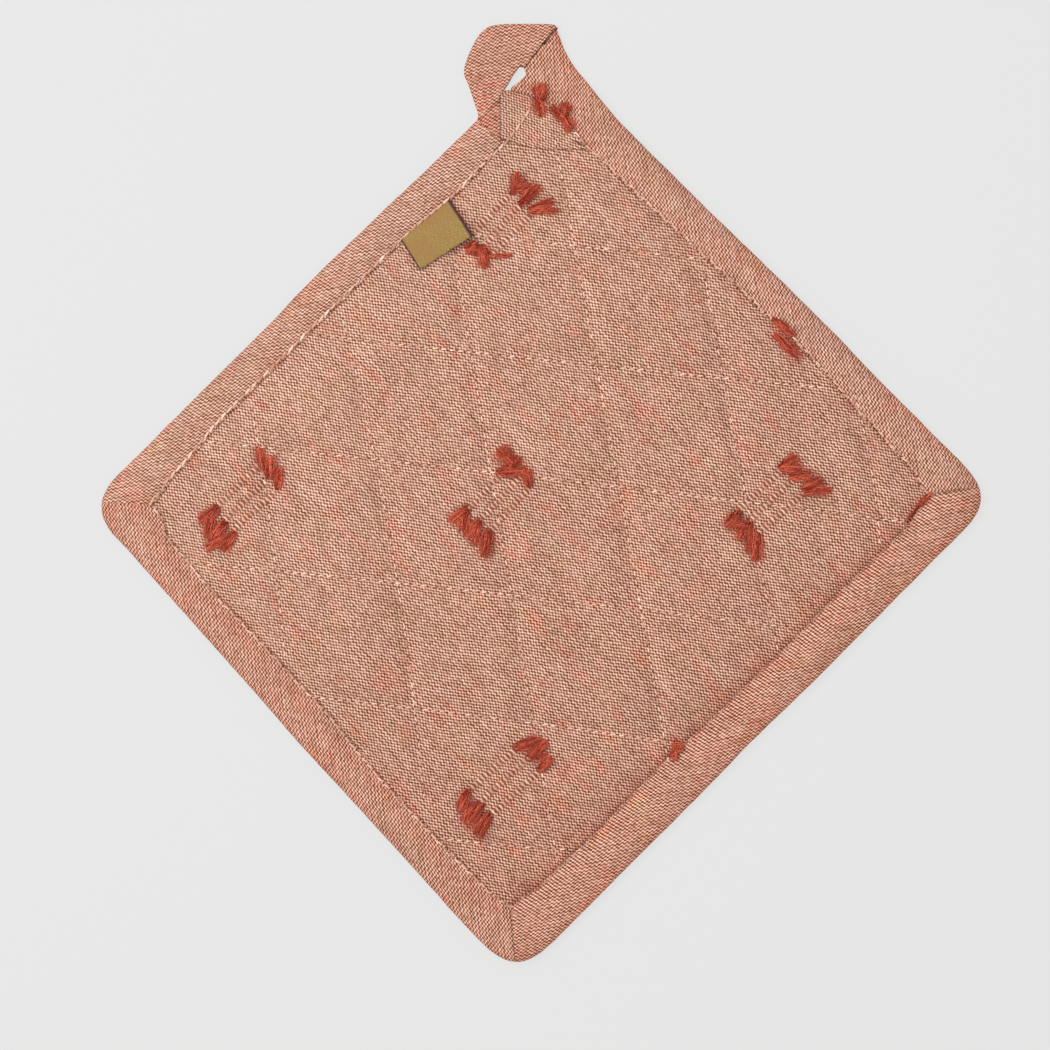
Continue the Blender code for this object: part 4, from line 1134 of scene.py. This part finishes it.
def make_fold():
    """The strip's folded end over the pad's top corner, rounded above and below."""
    dense = fold_outline()
    centre = sum(dense, Vector((0.0, 0.0))) / len(dense)
    sheet = Sheet()

    def corner(spot, z):
        lift = 0.10 * wander(spot.x, spot.y, 3.0, 14.0) if z > 5.0 else 0.0
        # painted shade: darker towards its left end, by the loop's left part, and down its sides
        light = 0.5 - 0.08 * smooth_step((-8.0 - spot.x) / 5.0)
        light -= 0.14 * smooth_step((5.5 - z) / 0.6)
        red = 0.55 + 0.08 * wander(spot.x, spot.y, 6.0, 44.0)
        turned = turned_about(spot, (0.0, 125.0), 9.0)
        return (sheet.point((spot.x, spot.y, z + lift), (max(red, 0.5), light, 0.0)),
                pad_weave(Vector((turned.x, 1.15 * turned.y))))

    # inset and height of each ring, against the loop and where it lies over the pad
    profile = ((0.35, 0.0, 1.9, 0.0), (0.05, 1.5, 1.9, 4.9), (0.05, 4.4, 0.0, 5.0),
               (0.10, 5.1, 0.0, 5.3), (0.28, 5.5, 0.15, 5.6), (0.68, 5.7, 0.6, FOLD_TOP))
    rings = []
    for inset, height, pad_inset, pad_height in profile:
        ring = []
        for i, point in enumerate(dense):
            normal = to_left(dense[(i + 1) % len(dense)] - dense[i - 1]).normalized()
            over = smooth_step((normal.y - 0.75) / 0.2) * smooth_step((point.x + 13.0) / 2.0)
            spot = point + normal * (inset + (pad_inset - inset) * over)
            ring.append(corner(spot, height + (pad_height - height) * over))
        rings.append(ring)
    for low, high in zip(rings, rings[1:]):
        sheet.band(low, high)
    rounds = 7
    for ring, height in ((rings[0], 0.0), (rings[-1], FOLD_TOP)):
        spots = [Vector(sheet.points[point][:2]) for point, _ in ring]
        for step in range(1, rounds):
            inner = [corner(spot.lerp(centre, step / rounds), height) for spot in spots]
            sheet.band(ring, inner)
            ring = inner
        middle = corner(centre, height)
        for i, edge in enumerate(ring):
            sheet.face((edge, ring[(i + 1) % len(ring)], middle))
    piece = sheet.finish("corner_cloth", chambray)
    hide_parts("corner_fold")
    return piece


# ---------------------------------------------------------------- label


def make_label(surface):
    """The woven tab, folded double at its free edge, with both ends caught in the binding."""
    first, second, third, fourth = (Vector(corner) for corner in LABEL_CORNERS)
    columns, rows = 28, 18
    spots = []
    for row in range(rows + 1):
        left, right = first.lerp(fourth, row / rows), second.lerp(third, row / rows)
        spots.append([left.lerp(right, column / columns) for column in range(columns + 1)])
    around = (0.0, 0.8, -0.8)           # so far round a point the ground is felt for
    ground = [max(surface.height(spot.x + dx, spot.y + dy)
                  for spot in line[::2] for dx in around for dy in around) for line in spots]
    ground = [max(ground[max(row - 3, 0):row + 4]) for row in range(rows + 1)]

    # the faces of both layers of ribbon, from the lowest up; they close up at the binding
    layers = []
    for level, closing in ((BACK_LEVEL, 0.0), (BACK_LEVEL + RIBBON, 0.0),
                           (FRONT_LEVEL, LAYERS_CLOSE), (FRONT_LEVEL + RIBBON, LAYERS_CLOSE)):
        layer = []
        for row, line in enumerate(spots):
            down = row / rows
            spread = level - closing * smooth_step((0.12 - down) / 0.12)
            layer.append([])
            for column, spot in enumerate(line):
                edge = smooth_step((abs(2.0 * column / columns - 1.0) - 0.8) / 0.2)
                lift = 0.3 + 0.6 * down + 0.10 * wander(spot.x, spot.y, 6.0, 31.0)
                lift += 0.12 * edge * down
                layer[-1].append(Vector((spot.x, spot.y, ground[row] + lift + spread)))
        layers.append(layer)

    sheet = Sheet()
    made = [[[sheet.point(place) for place in line] for line in layer] for layer in layers]

    def weave(row, back=0.0):
        return [(LABEL_WIDTH * column / columns, LABEL_LENGTH * row / rows + back)
                for column in range(columns + 1)]

    def join(low, high, low_weave, high_weave):
        sheet.band(list(zip(low, low_weave)), list(zip(high, high_weave)), closed=False)

    # the back layer's weave comes from further along the ribbon
    for grid, back in zip(made, (30.0, 30.0, 0.0, 0.0)):
        for row in range(rows):
            join(grid[row], grid[row + 1], weave(row, back), weave(row + 1, back))
    for a, b in ((0, 1), (2, 3)):
        join(made[a][0], made[b][0], weave(0), weave(0))
    for column in (0, columns):
        edge = [weave(row)[column] for row in range(rows + 1)]
        for a, b in ((0, 1), (2, 3)):
            join(*([line[column] for line in made[k]] for k in (a, b)), edge, edge)

    # the fold at the free edge: an outer and an inner arc from the back layer to the front one
    bend = (fourth - first).lerp(third - second, 0.5).normalized()
    far = weave(rows)
    folds = []
    for back, front, reach in ((0, 3, 0.45), (1, 2, 0.12)):
        lines = [made[back][rows]]
        for step in range(1, 6):
            angle = math.pi * step / 6
            push = bend * reach * math.sin(angle)
            lines.append([])
            for low, high in zip(layers[back][rows], layers[front][rows]):
                middle = low.lerp(high, 0.5)
                z = middle.z - 0.5 * (high - low).length * math.cos(angle)
                lines[-1].append(sheet.point((middle.x + push.x, middle.y + push.y, z)))
        folds.append(lines + [made[front][rows]])
    for lines in folds:
        for a, b in zip(lines, lines[1:]):
            join(a, b, far, far)
    for column in (0, columns):
        outer, inner = ([(line[column], far[column]) for line in lines] for lines in folds)
        for a, b, d, e in zip(outer, outer[1:], inner, inner[1:]):
            sheet.face((a, b, e, d))
    piece = sheet.finish("woven_label", label_ribbon)
    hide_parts("label")
    return piece


# ---------------------------------------------------------------- sewing and yarn


def tube(sheet, beads, around):
    """A closed round thread through beads, each of which is a point, a radius and a tone."""
    rings = []
    for i, (point, radius, tone) in enumerate(beads):
        ahead = beads[min(i + 1, len(beads) - 1)][0] - beads[max(i - 1, 0)][0]
        ahead.normalize()
        flat = Vector((-ahead.y, ahead.x, 0.0)).normalized()
        upright = ahead.cross(flat)
        ring = []
        for k in range(around):
            angle = 2.0 * math.pi * (k + 0.5) / around
            offset = (flat * math.cos(angle) + upright * math.sin(angle)) * radius
            ring.append((sheet.point(point + offset, tone), NO_WEAVE))
        rings.append(ring)
    for ring, following in zip(rings, rings[1:]):
        sheet.band(ring, following)
    sheet.cap(rings[0])
    sheet.cap(rings[-1][::-1])


def seam_path(seam):
    """Points along a quilting seam."""
    x0, y0, x1, y1, bow = seam
    start, end = Vector((x0, y0)), Vector((x1, y1))
    normal = to_left(end - start).normalized()
    return [start.lerp(end, i / 60) + normal * bow * 4.0 * (i / 60) * (1.0 - i / 60)
            for i in range(61)]


def walk(path, pitch):
    """Evenly spaced places along a path: point and direction."""
    spots = []
    left = 0.0
    for a, b in zip(path, path[1:]):
        length = (b - a).length
        direction = (b - a) / length
        while left < length:
            spots.append((a + direction * left, direction))
            left += pitch
        left -= length
    return spots


def add_stitches(sheet, surface, path, rng, radius=STITCH_RADIUS, share=0.62, stand=0.23,
                 slant=0.12, bright=0.97, hole=0.16):
    """A row of stitches: each rises from one hole and goes down at the next."""
    for spot, direction in walk(path, STITCH_LENGTH):
        normal = to_left(direction)
        lean = slant * rng.uniform(0.5, 1.5)
        reach = STITCH_LENGTH * share * rng.uniform(0.92, 1.06)
        shade = (rng.random(), bright + 0.16 * (rng.random() - 0.5), 0.5)
        beads = []
        for t, up, size in STITCH_BEADS:
            place = spot + direction * reach * t + normal * (lean * (t - 0.5) * 2.0)
            beads.append((surface.over(place, stand * up), radius * size, shade))
        tube(sheet, beads, 6)
        # the holes between stitches: dark beads sunk in the cloth, `hole` times as thick, paint
        # their shade
        gaps = [spot - direction * t * STITCH_LENGTH * (1.0 - share) for t in (0.12, 0.5, 0.88)]
        tube(sheet, [(surface.over(place, -0.02), size * hole, (0.0, 0.17, 0.5))
                     for place, size in zip(gaps, (1.0, 1.1, 1.0))], 6)


def make_quilting(surface):
    rng = random.Random(11)
    sheet = Sheet()
    for seam in ACROSS_SEAMS + DOWN_SEAMS:
        add_stitches(sheet, surface, seam_path(seam), rng)
    piece = sheet.finish("quilting_stitches", sewing_thread)


def sewn_edge(index):
    """The line sewn along one side's inner edge. The first side's starts on the corner fold."""
    side, following = sides[index], sides[(index + 1) % 4]
    inset = EDGE_SEWING[index][0]
    path = [Vector(spot) for spot in FOLD_SEAM] if index == 0 else []
    first = FOLD_SEAM_END if index == 0 else side.width(0.0) - inset
    last = side.length - (BINDING_END if index == 3 else
                          following.width(0.0) - EDGE_SEWING[(index + 1) % 4][0])
    steps = 90
    for i in range(steps + 1):
        place = first + (last - first) * i / steps
        stray = 0.20 * wander(place, index * 9.0, 5.0, 2.0)
        path.append(side.point(place, side.width(place) - inset + stray))
    return path


def make_edge_stitches(surface):
    rng = random.Random(12)
    sheet = Sheet()
    for index, (_, radius, stand, bright) in enumerate(EDGE_SEWING):
        share, slant = (0.97, 0.22) if index == 0 else (0.86, 0.16)
        # each side's thread is painted darker as less light falls on that side
        add_stitches(sheet, surface, sewn_edge(index), rng, radius=radius, stand=stand,
                     bright=bright, share=share, slant=slant, hole=0.19)
    add_stitches(sheet, surface, [Vector(spot) for spot in LOOP_TACK], rng, radius=0.28,
                 share=0.86, stand=0.2)
    piece = sheet.finish("edge_stitches", sewing_thread)


def make_ladders(surface):
    """Rows of short raised cream threads between two tufts, with sunk ones between painted dark as
    shade.
    """
    rng = random.Random(13)
    sheet = Sheet()
    for x0, y0, x1, y1 in LADDER_ROWS:
        row = walk([Vector((x0, y0)), Vector((x1, y1))], 0.5 * LADDER_PITCH)
        for number, (spot, _) in enumerate(row):
            half = 0.5 * LADDER_BAR * rng.uniform(0.85, 1.1)
            middle = spot + Vector((rng.uniform(-0.10, 0.10), rng.uniform(-0.10, 0.10)))
            # sunk threads: painted dark as the shade in the slots between the raised ones
            if number % 2:
                radius, stand, shade = 0.30, 0.04, (0.1, 0.22 + 0.14 * rng.random(), 0.5)
            else:
                radius, stand = 0.34, 0.24
                shade = (0.2 + 0.6 * rng.random(), 0.70 + 0.25 * rng.random(), 0.5)
            tube(sheet, [(surface.over(middle + ALONG_CREAM * half * t, stand * up),
                          radius * size, shade) for t, up, size in LADDER_BEADS], 6)
    piece = sheet.finish("raised_threads", raised_thread)


def make_tuft(name, locks, surface):
    """Loose crimped strands of clipped yarn in place of a tuft's locks, and a fuzz of thin ones."""
    rng = random.Random(name)
    sheet = Sheet()
    for root_x, root_y, tip_x, tip_y, width in locks:
        root, tip = Vector((root_x, root_y)), Vector((tip_x, tip_y))
        direction = (tip - root).normalized()
        length = (tip - root).length
        across = to_left(direction)
        width *= LOCK_SHARE
        strands = max(8, round(STRANDS_PER_MM * width))
        for number in range(2 * strands):
            fuzz = number >= strands
            loose, radius, steps, around = (1.8, 0.06, 6, 3) if fuzz else (1.0, 0.15, 8, 4)
            side = rng.uniform(-1.0, 1.0)
            start = root + across * (0.48 * width * side * loose + rng.uniform(-0.1, 0.1) * width)
            start += direction * rng.uniform(-1.5, 1.0 + 0.45 * length * fuzz)
            end = root + direction * length * rng.uniform(0.70, 1.08 + 0.10 * fuzz)
            end += across * (0.60 * width * loose * (0.8 * side + rng.uniform(-0.7, 0.7)))
            bend = across * 0.36 * width * rng.uniform(-1.0, 1.0)
            arch = rng.uniform(0.3, 1.3)
            layer = rng.uniform(0.0, 0.7)
            crimp = rng.uniform(0.08, 0.28) * loose
            phase = rng.uniform(0.0, 6.28)
            waves = (end - start).length / rng.uniform(1.6, 2.8)
            shade = rng.random() ** 1.3
            beads = []
            for i in range(steps + 1):
                t = i / steps
                spot = start.lerp(end, t) + bend * math.sin(math.pi * t)
                spot += across * crimp * math.sin(phase + 2.0 * math.pi * waves * t)
                up = 0.12 + layer + arch * math.sin(math.pi * min(t * 1.15, 1.0)) * 0.8
                up += rng.uniform(-0.05, 0.05)
                tone = (0.15 + 0.65 * shade + 0.15 * t + 0.15 * fuzz,
                        0.58 + 0.14 * t + 0.38 * shade, 0.5)
                beads.append((surface.over(spot, up), radius * (1.0 - 0.3 * t), tone))
            tube(sheet, beads, around)
    piece = sheet.finish(name + "_yarn", tuft_yarn)
    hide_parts(name)


# ---------------------------------------------------------------- stage, light and camera

# In metres, as everything on the stage.
FLOOR_REACH, FLOOR_LEVEL, FLOOR_GLOW = 4.0, -0.0003, 0.69
SKY_LIGHT = 0.58
LAMP_SIZE, LAMP_WATTS, LAMP_AWAY = 0.85, 7.5, 1.0
LAMP_TOWARDS = Vector((0.42, -0.22, -1.0)).normalized()
LENS, SENSOR = 150.0, 36.0
PICTURE_WIDTH = 0.354375
PICTURE_CENTRE = (-0.00557, -0.01131, 0.004)


def make_stage():
    g = Graph("backdrop")
    g.surface((0.10, 0.10, 0.10), 0.9, sheen=0.0, specular=0.0)
    g.put(g.shader.inputs["Emission Color"], (1.0, 1.0, 1.0))
    g.put(g.shader.inputs["Emission Strength"], FLOOR_GLOW)
    mesh = bpy.data.meshes.new("floor")
    mesh.from_pydata([(x * FLOOR_REACH, y * FLOOR_REACH, FLOOR_LEVEL)
                      for x, y in ((-1, -1), (1, -1), (1, 1), (-1, 1))], [], [(0, 1, 2, 3)])
    mesh.materials.append(g.material)
    in_scene("floor", mesh)

    world = bpy.data.worlds.new("studio")
    world.use_nodes = True
    background = world.node_tree.nodes["Background"]
    background.inputs["Color"].default_value = (1.0, 1.0, 1.0, 1.0)
    background.inputs["Strength"].default_value = SKY_LIGHT
    bpy.context.scene.world = world

    lamp = bpy.data.lights.new("key", "AREA")
    lamp.shape = "DISK"
    lamp.size = LAMP_SIZE
    lamp.energy = LAMP_WATTS
    key = in_scene("key", lamp)
    key.location = LAMP_TOWARDS * -LAMP_AWAY
    key.rotation_euler = LAMP_TOWARDS.to_track_quat("-Z", "Y").to_euler()

    camera = in_scene("camera", bpy.data.cameras.new("camera"))
    camera.data.lens = LENS
    camera.data.sensor_width = SENSOR
    camera.data.clip_end = 20.0
    camera.location = Vector(PICTURE_CENTRE) + Vector((0.0, 0.0, PICTURE_WIDTH * LENS / SENSOR))
    bpy.context.scene.camera = camera
    bpy.context.scene.view_settings.view_transform = "Standard"
    bpy.context.scene.view_settings.look = "None"


panel = make_panel()
binding = make_binding()
loop = make_loop()
fold = make_fold()
cloth = Surface((panel, binding, loop, fold))
label = make_label(cloth)
make_quilting(cloth)
make_edge_stitches(cloth)
make_ladders(cloth)
under_yarn = Surface((panel, binding, loop, fold, label))
for tuft_name, tuft_locks in TUFTS.items():
    make_tuft(tuft_name, tuft_locks, under_yarn)
make_stage()
